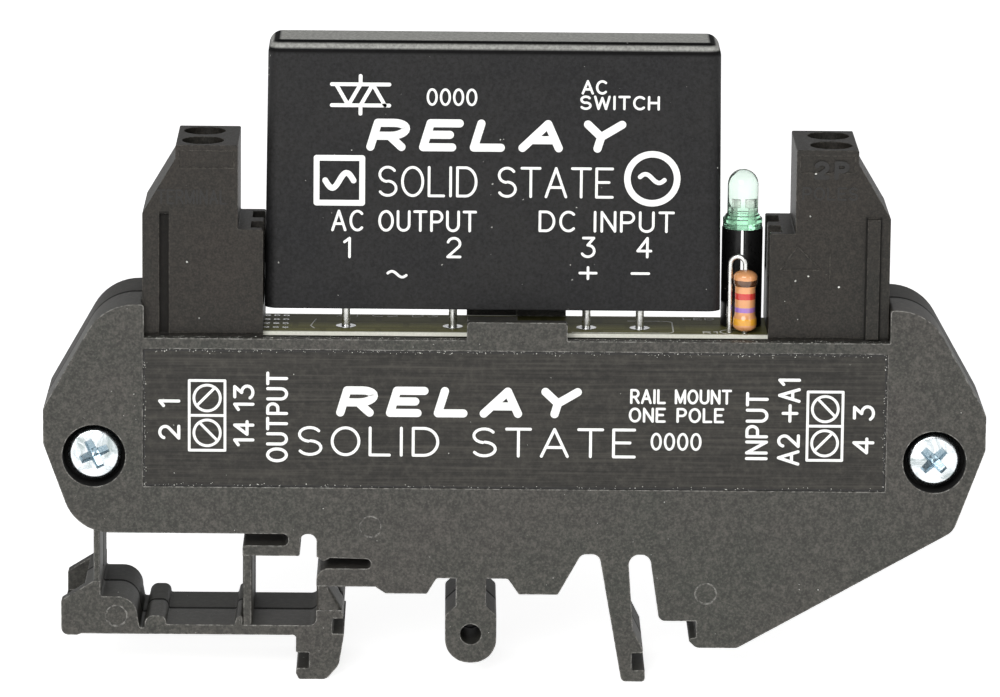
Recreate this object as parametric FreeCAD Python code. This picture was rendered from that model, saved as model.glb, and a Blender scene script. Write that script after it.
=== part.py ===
import FreeCAD, Part
import math
import os

# DIN-rail solid-state relay module. Millimetres. +X along the length, the labelled face towards -Y, +Z up.
# The origin is the middle of the 35 mm rail's seat: the rail's lips lie under Z = 0, centred on X = 0.

V = FreeCAD.Vector

# --- housing -------------------------------------------------------------------------------------------
WALL = 1.1                     # moulded wall
SHOULDER_LENGTH = 9.37         # from a terminal block's outer face to the end of the housing
TOP_Z = 30.4                   # top of both shoulders
RIM_Z = 27.2                   # top of the front wall between the shoulders
REAR_RIM_DROP = 0.4            # the rear wall's rim is lower by this
RIM_SHIFT = 0.15               # the rim's notch and tab sit this far right of the centre
SHOULDER_RUN = 5.73            # how far the sloped shoulder runs in from the end
SHOULDER_R = 5.0
END_TOP_Z = 20.3               # the short vertical end face
END_LOW_Z = 16.9
LOWER_RUN = 3.15               # how far the lower slant runs in from the end
BASE_Z = 8.25                  # underside over the latch
LOWER_LEFT_R = 4.5
TAB_HALF = 4.75                # middle tab of the rim
TAB_Z = 28.95
TAB_LIP = 1.6                  # how far the tab reaches in over the board
NOTCH_GAP = 0.1                # end of a terminal block to the cavity's end wall
SIDE_GAP = 0.05                # side of a terminal block to the housing wall
CAVITY_FLOOR_Z = 9.6
LEDGE_HEIGHT = 1.2             # rib that the board rests on
LEDGE_OVERLAP = 0.4            # how far it reaches under the board
CELL_RIB = 1.0                 # rib between the main cavity and an end cell
MARK_R = 1.0                   # ejector marks in the side faces
MARK_DEPTH = 0.12

# --- rail foot -----------------------------------------------------------------------------------------
RAIL_WIDTH = 35.0
RAIL_SLOT_HEIGHT = 1.6         # room for the rail's 1 mm lip
RAIL_LIP_DEPTH = 0.9           # how far the fixed foot reaches under the rail
FOOT_LOW_Z = -2.62
FOOT_LENGTH = 3.9              # flat sole of the fixed foot
NECK_Z = 4.03                  # underside beside the lug
MIDDLE_Z = 2.5                 # underside of the two low steps
ARM_Z = 3.15                   # underside of the stem's arm
LUG_X = -4.0
LUG_HALF = 2.45
LUG_NECK_HALF = 1.43
LUG_LOW_Z = -4.25
LUG_SHOULDER_Z = 1.35
LUG_HOLE_R = 1.0
LUG_HOLE_Z = -1.45
LEG_OFFSET = 4.84              # rail edge to the leg's toe
TOE_Z = -6.0                   # lowest point of the leg and of the hook
GAP_TOP_Z = 6.48               # round ends of the gaps on both sides of the leg

# --- sprung latch --------------------------------------------------------------------------------------
LATCH_PRELOAD = 0.3            # the open latch slot sits this much inside the rail's edge
LATCH_LIP_DEPTH = 1.15
BEAM_LOW_Z = -1.66
BEAM_TOP_Z = -0.7
LEAF_OUTER_X = 4.71            # outer leaf's outer face, from the housing's end
LEAF_OUTER_T = 0.67
LEAF_OUTER_LOW_Z = 3.5
LEAF_INNER_X = 8.25            # inner leaf's outer face, from the rail's edge
LEAF_INNER_T = 0.95
LEAF_ARM_Z = 6.1               # underside of the arm that carries the inner leaf
LEAF_ARM_T = 1.0
LEAF_ARM_ROOT_X = 3.9          # round end of the slot over that arm, from the rail's edge
LEAF_ARM_END_X = 2.8           # the arm's right face, from the rail's edge
STEM_X = 1.22                  # stem's outer face, from the rail's edge
STEM_T = 1.22
STEM_LOW_Z = 0.8
STEM_ARM_T = 1.75
STEM_ARM_RUN = 5.17            # slot over the stem's arm
TAB_X = 1.65                   # pry tab's outer face, from the housing's end
TAB_TOP_Z = 1.6
SOCKET_LENGTH = 2.2            # screwdriver socket in the pry tab
SOCKET_WALL = 1.3
SOCKET_FLOOR_Z = -0.3
BOSS_X = 6.9                   # round boss of the latch, from the housing's end
BOSS_R = 2.0
HUMP_X = 10.62
HUMP_HALF = 1.02

# --- housing screws ------------------------------------------------------------------------------------
CASE_SCREW_X = 4.8             # screw axis, from the housing's end
CASE_SCREW_Z = 15.73
CASE_SCREW_R = 1.25
CASE_SCREW_LENGTH = 8.0
CASE_HEAD_R = 2.5
CASE_HEAD_HEIGHT = 1.7
CASE_HEAD_RECESS = 0.8
CASE_BORE_R = 3.0              # counterbore
CASE_BOSS_R = 3.9
CASE_SCREW_GAP = 0.03
CROSS_WIDTH = 0.75             # cross recess
CROSS_HALF = 1.35
CROSS_DEPTH = 1.0
CROSS_TURN = (25.0, 45.0)      # left and right screw

# --- label ---------------------------------------------------------------------------------------------
LABEL_MARGIN = 0.13            # the label ends this far inside the terminal blocks' outer faces
LABEL_LOW_Z = 12.85
LABEL_TOP_Z = 26.1
LABEL_RECESS = 0.3
LABEL_T = 0.22
LABEL_GAP = 0.05

# --- board ---------------------------------------------------------------------------------------------
BOARD_TOP_Z = 27.45
BOARD_T = 1.6
BOARD_SET_BACK = 1.05           # each side, from the terminal blocks' side faces
BOARD_GAP = 0.05
HOLE_GAP = 0.1                 # lead to plated hole
SOLDER_R = 0.4                 # solder cone's foot beyond the hole
SOLDER_HEIGHT = 0.7
LEAD_BELOW = 1.0               # leads stick out under the board

# --- relay block ---------------------------------------------------------------------------------------
RELAY_LENGTH = 43.2
RELAY_DEPTH = 7.6
RELAY_HEIGHT = 25.6
RELAY_STANDOFF = 2.2
RELAY_DRAFT = 0.3              # each end face leans in by this at the top
RELAY_SIDE_DRAFT = 0.1
RELAY_EDGE_R = 1.25
RELAY_WALL = 0.9
POTTING_RECESS = 0.3
POTTING_HEIGHT = 11.0
PIN_R = 0.4
PIN_Y = -1.2
PIN_FIRST_X = 7.7              # first pin, from the block's left end
PIN_PITCHES = (0.0, 10.16, 22.86, 27.94)
PIN_REACH = 5.5                # above the block's underside
SUBSTRATE_T = 0.8
SUBSTRATE_MARGIN = 2.4
SUBSTRATE_LIFT = 1.8
SUBSTRATE_TOP_GAP = 3.7        # to the inside of the case's top
CHIP_T = 0.5
CHIP_SIDE = 6.0
CHIP_LIFT = 13.0
CHIP_PLACES = (-13.0, -3.5)
OPTO_SIZE = (6.4, 1.5, 4.6)    # X, Y, Z
OPTO_X = 7.5
GATE_PART_SIZE = (2.0, 0.5, 1.2)
GATE_PART_PLACES = (-8.0, -1.0, 13.5)

# --- terminal blocks -----------------------------------------------------------------------------------
POLE_PITCH = 5.0
BLOCK_MARGIN = 0.15            # each side of the two poles
BLOCK_LENGTH = 11.38
BLOCK_GAP = 0.1                # left block to relay
LED_BAY = 4.5                  # relay to right block
BLOCK_HEIGHT = 18.05
BLOCK_STEP_HEIGHT = 10.0       # low step on the relay's side
BLOCK_STEP_LENGTH = 2.4
BLOCK_SLANT_RUN = 3.13         # outer slant
BLOCK_SLANT_LOW = 11.5
BLOCK_SLANT_TOP = 16.75
SCREW_AXIS_X = 5.63            # terminal screw axis, from the block's outer face
SCREW_HOLE_R = 2.0
GROOVE_X = 1.6                 # side groove and rib, from the outer face
GROOVE_WIDTH = 0.9
GROOVE_DEPTH = 0.5
RIB_WIDTH = 1.2
RIB_HEIGHT = 0.45
SKIRT_DEPTH = 0.9              # lips that reach down beside the board
SKIRT_SET_BACK = 0.25          # from the block's side face
BAND_DEPTH = 0.15              # shallow panel near the top of the side faces
BAND_LOW = 15.9
BAND_TOP = 17.5
BAND_MARGIN = 0.35
POCKET_HALF = 1.6              # test pockets on the step
POCKET_DEPTH = 1.2
POCKET_HEIGHT = 5.0

TERMINAL_SCREW_R = 1.25
TERMINAL_HEAD_R = 1.8
TERMINAL_HEAD_HEIGHT = 1.65
TERMINAL_HEAD_DEPTH = 1.9      # head top below the block's top
SLOT_WIDTH = 0.6
SLOT_DEPTH = 0.8
THREAD_GAP = 0.05
TIP_GAP = 0.05

BAR_T = 0.8
BAR_HALF = 1.15
BAR_UNDERSIDE = 7.55           # above the board
BAR_OUTER = 3.7                # bar end, from the block's outer face
BAR_LEG_X = 9.0                # leg's outer face, from the block's outer face
BAR_PIN_HALF = 0.5
CAGE_HALF_LENGTH = 2.1         # along the wire
CAGE_SIDE_GAP = 0.15
POLE_WALL = 0.4                # half the wall between the poles
CAGE_WALL = 0.6
CAGE_FLOOR_T = 1.0
CAGE_TOP_T = 2.0
CAGE_MOUTH = 3.1               # open height between floor and bar
CAGE_TRAVEL = 2.6
CAGE_TOP_GAP = 0.5             # collar above the bar when open
CAVITY_GAP = 0.1
ENTRY_HALF = 1.6
FUNNEL_HALF = 2.0
FUNNEL_DEPTH = 1.0
FUNNEL_EXTRA = 0.6

# --- indicator lamp and resistor -----------------------------------------------------------------------
LED_X = 2.15                   # from the relay's right end
LED_Y = 0.8
LENS_R = 1.48
LENS_TOP = 15.1                # above the board
FLANGE_R = 1.88
FLANGE_T = 1.0
SPACER_R = 1.95
SPACER_BORE_R = 1.2
SPACER_HEIGHT = 9.5
SPACER_SLOT_HALF = 0.2         # slit through the tube, front to rear
SPACER_BASE = 1.0              # uncut foot of the tube
LED_LEAD_HALF = 0.25
LED_LEAD_OFFSET = 0.635
LED_POST_HEIGHT = 1.9          # leads inside the lens
LED_CUP_R = 0.85
LED_CUP_HEIGHT = 0.8
RESISTOR_X = 2.35              # from the relay's right end
RESISTOR_Y = -3.0
RESISTOR_R = 1.13
RESISTOR_WAIST_R = 0.98
RESISTOR_LIFT = 0.15
RESISTOR_LENGTH = 5.95
RESISTOR_CAP = 1.55            # length of each thick end
RESISTOR_ROUND = 0.55
LEAD_R = 0.26
HAIRPIN_R = 0.72
HAIRPIN_RISE = 0.5
HAIRPIN_BACK = 0.35            # how far the lead's free side stands behind the body's axis

# --- worked out from the values above ------------------------------------------------------------------
BLOCK_DEPTH = 2 * (POLE_PITCH + BLOCK_MARGIN)
BOARD_WIDTH = BLOCK_DEPTH - 2 * BOARD_SET_BACK
INNER_HALF = BLOCK_DEPTH / 2 + SIDE_GAP
FACE_Y = INNER_HALF + WALL
BLOCK_INNER = (BLOCK_GAP + RELAY_LENGTH + LED_BAY) / 2
BLOCK_OUTER = BLOCK_INNER + BLOCK_LENGTH
CAVITY_END = BLOCK_OUTER + NOTCH_GAP
END_X = BLOCK_OUTER + SHOULDER_LENGTH
NOTCH_LEFT = RIM_SHIFT - BLOCK_OUTER + RIM_SHIFT / 5
NOTCH_RIGHT = RIM_SHIFT + BLOCK_OUTER - RIM_SHIFT / 5
RELAY_LEFT = BLOCK_GAP - BLOCK_INNER
RELAY_RIGHT = RELAY_LEFT + RELAY_LENGTH
RELAY_MID = (RELAY_LEFT + RELAY_RIGHT) / 2
RELAY_LOW = BOARD_TOP_Z + RELAY_STANDOFF
BOARD_LOW_Z = BOARD_TOP_Z - BOARD_T
BLOCK_TOP = BOARD_TOP_Z + BLOCK_HEIGHT
RAIL_EDGE = RAIL_WIDTH / 2
LATCH_SLOT_X = LATCH_PRELOAD - RAIL_EDGE
OUTER_LEAF_X = LEAF_OUTER_X - END_X
INNER_LEAF_X = -RAIL_EDGE - LEAF_INNER_X
STEM_FACE_X = -RAIL_EDGE - STEM_X
SUBSTRATE_HEIGHT = RELAY_HEIGHT - RELAY_WALL - SUBSTRATE_LIFT - SUBSTRATE_TOP_GAP
LEAD_END_Z = BOARD_LOW_Z - LEAD_BELOW
POLES = (("front", -POLE_PITCH / 2), ("rear", POLE_PITCH / 2))
SCREW_X = SCREW_AXIS_X - BLOCK_OUTER
BAR_Z = BOARD_TOP_Z + BAR_UNDERSIDE
CAGE_HALF = POLE_PITCH / 2 - POLE_WALL - CAGE_SIDE_GAP
CAGE_LOW_Z = BAR_Z - CAGE_MOUTH - CAGE_FLOOR_T
CAGE_COLLAR_Z = BAR_Z + BAR_T + CAGE_TOP_GAP
CAGE_TOP_Z = CAGE_COLLAR_Z + CAGE_TOP_T
HEAD_TOP_Z = BLOCK_TOP - TERMINAL_HEAD_DEPTH
HEAD_LOW_Z = HEAD_TOP_Z - TERMINAL_HEAD_HEIGHT
LED_AXIS_X = RELAY_RIGHT + LED_X
RESISTOR_AXIS_X = RELAY_RIGHT + RESISTOR_X


# --- drawing helpers -----------------------------------------------------------------------------------
def outline(corners):
    """Closed wire in the XZ plane. A corner is (x, z), or (x, z, radius) for a round one."""
    points = [V(corner[0], 0, corner[1]) for corner in corners]
    edges = []
    pen = None
    for index, corner in enumerate(corners):
        here = points[index]
        towards = (here - points[index - 1]).normalize()
        away = (points[(index + 1) % len(points)] - here).normalize()
        radius = corner[2] if len(corner) > 2 else 0.0
        half_turn = towards.getAngle(away) / 2
        start = here - towards * radius * math.tan(half_turn)
        end = here + away * radius * math.tan(half_turn)
        if pen is not None:
            add_line(edges, pen, start)
        else:
            first = start
        if radius:
            inward = (away - towards).normalize()
            middle = here + inward * radius * (1 / math.cos(half_turn) - 1)
            edges.append(Part.Arc(start, middle, end).toShape())
        pen = end
    add_line(edges, pen, first)
    return Part.Wire(edges)


def add_line(edges, start, end):
    """Adds a straight edge, unless two arcs already meet there."""
    if (end - start).Length > 1e-6:
        edges.append(Part.LineSegment(start, end).toShape())


def prism(corners, y_low, y_high):
    """Solid with the outline's section, from y_low to y_high."""
    face = Part.Face(outline(corners))
    face.translate(V(0, y_low, 0))
    return face.extrude(V(0, y_high - y_low, 0))


def box(x_low, x_high, y_low, y_high, z_low, z_high):
    return Part.makeBox(x_high - x_low, y_high - y_low, z_high - z_low, V(x_low, y_low, z_low))


def post(x, y, z_low, z_high, radius):
    """Upright cylinder."""
    return Part.makeCylinder(radius, z_high - z_low, V(x, y, z_low))


def cross_rod(x, z, y_low, y_high, radius):
    """Cylinder along Y."""
    return Part.makeCylinder(radius, y_high - y_low, V(x, y_low, z), V(0, 1, 0))


def to_rear(shape):
    """The mirrored piece of the rear half."""
    return shape.mirror(V(0, 0, 0), V(0, 1, 0))


def to_right(shape):
    """The same piece turned half a turn about the upright axis through the origin."""
    turned = shape.copy()
    turned.rotate(V(0, 0, 0), V(0, 0, 1), 180)
    return turned


def save(name, *solids):
    shape = solids[0] if len(solids) == 1 else Part.makeCompound(list(solids))
    if not shape.isValid():
        raise RuntimeError(name + " is not a valid shape")
    print(name, len(shape.Solids), round(shape.Volume, 2))
    shape.exportStep("parts/" + name + ".step")


# --- housing halves ------------------------------------------------------------------------------------
def body_corners(rim_z):
    """Outline of a half with its fixed foot, from the notch's left corner and on past the latch side."""
    nose = STEM_FACE_X
    edge = RAIL_EDGE
    toe = edge - LEG_OFFSET
    return [
        (NOTCH_LEFT, rim_z), (NOTCH_LEFT, TOP_Z, 0.3), (SHOULDER_RUN - END_X, TOP_Z, SHOULDER_R),
        (-END_X, END_TOP_Z, 1.0), (-END_X, END_LOW_Z, 1.0), (LOWER_RUN - END_X, BASE_Z, LOWER_LEFT_R),
        (nose, BASE_Z, 0.75), (nose, 6.05), (nose + 0.65, 5.6, 0.2), (nose + 1.3, 5.95, 0.2),
        (nose + STEM_ARM_RUN, 5.85, 0.45), (nose + STEM_ARM_RUN, ARM_Z),
        (nose + 5.6, ARM_Z), (nose + 6.6, MIDDLE_Z, 0.3), (LUG_X - 4.2, MIDDLE_Z, 0.2),
        (LUG_X - 3.3, NECK_Z, 0.4), (LUG_X + 3.5, NECK_Z, 0.4), (LUG_X + 4.55, MIDDLE_Z, 0.2),
        (toe - 8.4, MIDDLE_Z, 0.2), (toe - 6.2, GAP_TOP_Z, 0.8), (toe - 4.5, GAP_TOP_Z, 0.8),
        (toe - 2.24, TOE_Z, 0.5), (toe, TOE_Z, 0.35), (toe, -4.85, 0.1), (toe - 1.26, -4.92, 0.1),
        (toe - 1.28, -3.2, 0.1), (toe - 0.04, -3.2, 0.25), (toe - 1.2, -0.9, 0.4),
        (toe - 1.75, GAP_TOP_Z, 1.0), (toe + 0.3, GAP_TOP_Z, 0.9), (toe + 1.28, 0.0, 0.7),
        (edge, 0.0, 0.1), (edge, -RAIL_SLOT_HEIGHT, 0.1), (edge - RAIL_LIP_DEPTH, -1.75, 0.2),
        (edge, FOOT_LOW_Z, 0.9), (edge + FOOT_LENGTH, FOOT_LOW_Z, 1.0),
        (END_X - 2.88, 8.97, 2.0), (END_X, END_LOW_Z, 1.0), (END_X, END_TOP_Z, 1.0),
        (END_X - SHOULDER_RUN, TOP_Z, SHOULDER_R), (NOTCH_RIGHT, TOP_Z, 0.3), (NOTCH_RIGHT, rim_z),
        (RIM_SHIFT + TAB_HALF, rim_z), (RIM_SHIFT + TAB_HALF, TAB_Z, 0.35),
        (RIM_SHIFT - TAB_HALF, TAB_Z, 0.35), (RIM_SHIFT - TAB_HALF, rim_z),
    ]


def lug_corners():
    """Rounded lug that hangs into the rail's channel."""
    return [
        (LUG_X - LUG_NECK_HALF, NECK_Z + 0.5), (LUG_X - LUG_NECK_HALF, LUG_SHOULDER_Z),
        (LUG_X - LUG_HALF, LUG_SHOULDER_Z - 0.95, 0.5), (LUG_X - LUG_HALF, LUG_LOW_Z, 2.3),
        (LUG_X + LUG_HALF, LUG_LOW_Z, 2.3), (LUG_X + LUG_HALF, LUG_SHOULDER_Z - 0.95, 0.5),
        (LUG_X + LUG_NECK_HALF, LUG_SHOULDER_Z), (LUG_X + LUG_NECK_HALF, NECK_Z + 0.5),
    ]


def leaf_arm_corners():
    """Arm under the housing that carries the inner leaf, with the round end of the slot above it."""
    root = -RAIL_EDGE - LEAF_ARM_ROOT_X
    end = -RAIL_EDGE - LEAF_ARM_END_X
    top = LEAF_ARM_Z + LEAF_ARM_T
    return [
        (end + 0.9, BASE_Z + 0.5), (end + 0.9, BASE_Z), (end, BASE_Z, 0.7), (end, LEAF_ARM_Z, 0.2),
        (INNER_LEAF_X, LEAF_ARM_Z), (INNER_LEAF_X, top, 0.25), (root, top, 0.5), (root, BASE_Z, 0.5),
        (root - 0.9, BASE_Z), (root - 0.9, BASE_Z + 0.5),
    ]


def stem_arm_corners():
    """Arm that carries the stem of the latch, under its own slot."""
    top = ARM_Z + STEM_ARM_T
    root = STEM_FACE_X + STEM_ARM_RUN
    return [
        (root + 0.5, ARM_Z), (STEM_FACE_X, ARM_Z), (STEM_FACE_X, top, 1.15), (root, top, 0.4),
        (root, top + 0.45), (root + 0.5, top + 0.45),
    ]


def end_cell():
    """Hollow of the left shoulder, round the screw's boss."""
    inner = -CAVITY_END - CELL_RIB
    corners = [
        (inner, 11.4, 0.4), (inner, TOP_Z - WALL, 0.4),
        (SHOULDER_RUN + 0.64 - END_X, TOP_Z - WALL, SHOULDER_R / 2),
        (WALL - END_X, END_TOP_Z - 0.3, 0.6), (WALL - END_X, END_LOW_Z + 0.3, 0.6),
        (LOWER_RUN - END_X, 11.4, 0.8),
    ]
    cell = prism(corners, -INNER_HALF, 0)
    return cell.cut(cross_rod(CASE_SCREW_X - END_X, CASE_SCREW_Z, -INNER_HALF, 0, CASE_BOSS_R))


def half_shell(rim_z):
    """Front half: walls, ledge for the board, end cells, foot, lug and the two arms of the latch."""
    shell = prism(body_corners(rim_z), -FACE_Y, 0)
    corners = [(-CAVITY_END, TOP_Z), (-CAVITY_END, CAVITY_FLOOR_Z, 1.0), (CAVITY_END, CAVITY_FLOOR_Z, 1.0),
               (CAVITY_END, TOP_Z)]
    cavity = prism(corners, -INNER_HALF, 0)
    shell = shell.cut([cavity, end_cell(), end_cell().mirror(V(0, 0, 0), V(1, 0, 0))])
    ledge_y = LEDGE_OVERLAP - BOARD_WIDTH / 2
    ledge = box(-CAVITY_END, CAVITY_END, -INNER_HALF, ledge_y, BOARD_LOW_Z - LEDGE_HEIGHT, BOARD_LOW_Z)
    extras = [ledge]
    for corners in (lug_corners(), leaf_arm_corners(), stem_arm_corners()):
        extras.append(prism(corners, -FACE_Y, 0))
    shell = shell.fuse(extras)
    holes = [cross_rod(LUG_X, LUG_HOLE_Z, -FACE_Y, 0, LUG_HOLE_R)]
    for mark_x, mark_z in ((RAIL_EDGE + 0.85, 2.7), (-13.6, 9.0)):
        holes.append(cross_rod(mark_x, mark_z, -FACE_Y, MARK_DEPTH - FACE_Y, MARK_R))
    return shell.cut(holes).removeSplitter()


def tab_lip(x_low, x_high):
    """Hook of the middle tab, over the board's edge."""
    return box(x_low, x_high, -INNER_HALF, TAB_LIP - INNER_HALF, BOARD_TOP_Z + BOARD_GAP, TAB_Z)


def front_half():
    shell = half_shell(RIM_Z).fuse(tab_lip(RIM_SHIFT - TAB_HALF, RIM_SHIFT))
    seat_y = CASE_HEAD_RECESS + CASE_HEAD_HEIGHT - FACE_Y
    label_x = BLOCK_OUTER - LABEL_MARGIN + LABEL_GAP
    cuts = [box(-label_x, label_x, -FACE_Y, LABEL_RECESS - FACE_Y, LABEL_LOW_Z - LABEL_GAP,
                LABEL_TOP_Z + LABEL_GAP)]
    for side in (-1, 1):
        screw_x = side * (END_X - CASE_SCREW_X)
        cuts.append(cross_rod(screw_x, CASE_SCREW_Z, -FACE_Y, seat_y, CASE_BORE_R))
        cuts.append(cross_rod(screw_x, CASE_SCREW_Z, seat_y, 0, CASE_SCREW_R + 0.15))
    return shell.cut(cuts).removeSplitter()


def rear_half():
    shell = to_rear(half_shell(RIM_Z - REAR_RIM_DROP).fuse(tab_lip(RIM_SHIFT, RIM_SHIFT + TAB_HALF)))
    pilots = []
    for side in (-1, 1):
        screw_x = side * (END_X - CASE_SCREW_X)
        pilots.append(cross_rod(screw_x, CASE_SCREW_Z, 0, FACE_Y - WALL, CASE_SCREW_R + CASE_SCREW_GAP))
    return shell.cut(pilots).removeSplitter()


def case_screw(side, turn):
    """Pan-head screw with a cross recess, its axis along Y."""
    x = side * (END_X - CASE_SCREW_X)
    top_y = CASE_HEAD_RECESS - FACE_Y
    seat_y = top_y + CASE_HEAD_HEIGHT
    head = cross_rod(x, CASE_SCREW_Z, top_y, seat_y, CASE_HEAD_R)
    rim = [edge for edge in head.Edges if edge.BoundBox.YMax < top_y + 0.01]
    head = head.makeFillet(CASE_HEAD_HEIGHT * 0.45, rim)
    shank = cross_rod(x, CASE_SCREW_Z, seat_y, seat_y + CASE_SCREW_LENGTH, CASE_SCREW_R)
    tip = [edge for edge in shank.Edges if edge.BoundBox.YMin > seat_y + CASE_SCREW_LENGTH - 0.01]
    shank = shank.makeChamfer(0.4, tip)
    wide = box(-CROSS_HALF, CROSS_HALF, 0, CROSS_DEPTH, -CROSS_WIDTH / 2, CROSS_WIDTH / 2)
    tall = box(-CROSS_WIDTH / 2, CROSS_WIDTH / 2, 0, CROSS_DEPTH, -CROSS_HALF, CROSS_HALF)
    cross = wide.fuse(tall)
    cross.rotate(V(0, 0, 0), V(0, 1, 0), turn)
    cross.translate(V(x, top_y, CASE_SCREW_Z))
    return head.fuse(shank).cut(cross).removeSplitter()


def label_plate():
    half = BLOCK_OUTER - LABEL_MARGIN
    back = LABEL_RECESS - FACE_Y
    return box(-half, half, back - LABEL_T, back, LABEL_LOW_Z, LABEL_TOP_Z)


# --- latch: one moulding with the half, split at its three thin flexures -------------------------------
def latch_corners():
    """Outline of the moving latch: pry tab, boss, beam, hump and the hook that grips the rail."""
    tab = TAB_X - END_X
    leaf = OUTER_LEAF_X + LEAF_OUTER_T
    boss = BOSS_X - END_X
    hump = HUMP_X - END_X
    lip = LATCH_SLOT_X + LATCH_LIP_DEPTH
    hook = -RAIL_EDGE - 3.15
    return [
        (tab, TAB_TOP_Z, 0.3), (tab, -1.8, 0.7), (tab + 1.5, -1.8), (tab + 1.9, BEAM_LOW_Z),
        (hook, BEAM_LOW_Z, 0.3), (hook, -3.36, 0.15), (hook + 1.27, -3.36, 0.1), (hook + 1.27, -4.91, 0.1),
        (hook + 0.1, -4.91, 0.1), (hook, -5.4), (hook + 0.3, TOE_Z, 0.25), (lip - 1.7, TOE_Z, 0.9),
        (lip - 0.5, -4.6, 1.5), (lip, -RAIL_SLOT_HEIGHT + 0.1, 0.1),
        (LATCH_SLOT_X, -RAIL_SLOT_HEIGHT + 0.1, 0.1),
        (LATCH_SLOT_X, 0.0, 0.1), (lip - 0.05, 0.0, 0.1), (lip - 0.24, STEM_LOW_Z),
        (STEM_FACE_X, STEM_LOW_Z), (STEM_FACE_X, BEAM_TOP_Z, 0.7), (INNER_LEAF_X, BEAM_TOP_Z),
        (INNER_LEAF_X, 0.28, 0.2), (INNER_LEAF_X - 0.55, 0.1, 0.3), (INNER_LEAF_X - 0.75, BEAM_TOP_Z, 0.2),
        (hump + HUMP_HALF, BEAM_TOP_Z, 0.15), (hump + HUMP_HALF, 0.15, 0.65), (hump - HUMP_HALF, 0.15, 0.8),
        (hump - HUMP_HALF, -1.05, 0.2), (boss + BOSS_R + 0.2, -1.05, 0.2), (boss + BOSS_R, 0.0, 0.3),
        (boss + BOSS_R, BOSS_R, BOSS_R - 0.1), (leaf, BOSS_R, 0.2),
        (leaf, LEAF_OUTER_LOW_Z), (OUTER_LEAF_X, LEAF_OUTER_LOW_Z),
    ]


def front_latch():
    """Moving latch with the screwdriver socket in its pry tab and the mark on its boss."""
    latch = prism(latch_corners(), -FACE_Y, 0)
    tab = TAB_X - END_X
    socket = box(tab - 1, tab + SOCKET_LENGTH, SOCKET_WALL - FACE_Y, 0, SOCKET_FLOOR_Z, LEAF_OUTER_LOW_Z)
    mark = cross_rod(BOSS_X - END_X, 0.1, -FACE_Y, MARK_DEPTH - FACE_Y, MARK_R)
    return latch.cut([socket, mark]).removeSplitter()


def outer_leaf(housing):
    """Thin upright leaf between the housing's rounded corner and the pry tab."""
    leaf = box(OUTER_LEAF_X, OUTER_LEAF_X + LEAF_OUTER_T, -FACE_Y, 0, LEAF_OUTER_LOW_Z, BASE_Z + 1.5)
    return leaf.cut(housing).Solids[0]


def inner_leaf():
    return box(INNER_LEAF_X, INNER_LEAF_X + LEAF_INNER_T, -FACE_Y, 0, BEAM_TOP_Z, LEAF_ARM_Z)


def stem():
    """Flexing neck over the hook, with the lead-in slope for the rail."""
    lip = LATCH_SLOT_X + LATCH_LIP_DEPTH
    corners = [
        (STEM_FACE_X, ARM_Z), (STEM_FACE_X + STEM_T, ARM_Z), (STEM_FACE_X + STEM_T, ARM_Z - 0.25),
        (lip - 0.24, STEM_LOW_Z), (STEM_FACE_X, STEM_LOW_Z),
    ]
    return prism(corners, -FACE_Y, 0)


# --- relay block ---------------------------------------------------------------------------------------
def rectangle(x_low, x_high, half_y, z):
    points = [V(x_low, -half_y, z), V(x_high, -half_y, z), V(x_high, half_y, z), V(x_low, half_y, z)]
    return Part.makePolygon(points + points[:1])


def tapered_block(inset, z_low, z_high):
    """The relay block's drafted form, moved in by inset."""
    share_low = (z_low - RELAY_LOW) / RELAY_HEIGHT
    share_high = (z_high - RELAY_LOW) / RELAY_HEIGHT
    wires = []
    for share, z in ((share_low, z_low), (share_high, z_high)):
        end_inset = inset + RELAY_DRAFT * share
        half_y = RELAY_DEPTH / 2 - inset - RELAY_SIDE_DRAFT * share
        wires.append(rectangle(RELAY_LEFT + end_inset, RELAY_RIGHT - end_inset, half_y, z))
    return Part.makeLoft(wires, True, True)


def relay_case():
    """Cup with rounded outer edges, open underneath."""
    outer = tapered_block(0, RELAY_LOW, RELAY_LOW + RELAY_HEIGHT)
    rounded = [edge for edge in outer.Edges if edge.BoundBox.ZMax > RELAY_LOW + 0.01]
    outer = outer.makeFillet(RELAY_EDGE_R, rounded)
    return outer.cut(tapered_block(RELAY_WALL, RELAY_LOW, RELAY_LOW + RELAY_HEIGHT - RELAY_WALL))


def relay_pin_places():
    return [RELAY_LEFT + PIN_FIRST_X + pitch for pitch in PIN_PITCHES]


def relay_pins():
    """Four round pins, up in front of the ceramic plate and down through the board."""
    pins = []
    for x in relay_pin_places():
        pins.append(post(x, PIN_Y, LEAD_END_Z, RELAY_LOW + PIN_REACH, PIN_R))
    return pins


def relay_substrate():
    """Upright ceramic plate behind the pins."""
    low = RELAY_LOW + SUBSTRATE_LIFT
    front = PIN_Y + PIN_R
    return box(RELAY_LEFT + SUBSTRATE_MARGIN, RELAY_RIGHT - SUBSTRATE_MARGIN, front, front + SUBSTRATE_T,
               low, low + SUBSTRATE_HEIGHT)


def relay_thyristors():
    back = PIN_Y + PIN_R + SUBSTRATE_T
    low = RELAY_LOW + CHIP_LIFT
    return [box(RELAY_MID + x, RELAY_MID + x + CHIP_SIDE, back, back + CHIP_T, low, low + CHIP_SIDE)
            for x in CHIP_PLACES]


def front_part(x, size):
    """Box-shaped part on the front of the ceramic plate, centred on x from the block's middle."""
    face = PIN_Y + PIN_R
    low = RELAY_LOW + CHIP_LIFT
    half = size[0] / 2
    return box(RELAY_MID + x - half, RELAY_MID + x + half, face - size[1], face, low, low + size[2])


def relay_potting(insides):
    """Cast resin round the pins and the foot of the plate."""
    low = RELAY_LOW + POTTING_RECESS
    return tapered_block(RELAY_WALL, low, low + POTTING_HEIGHT).cut(insides)


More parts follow.
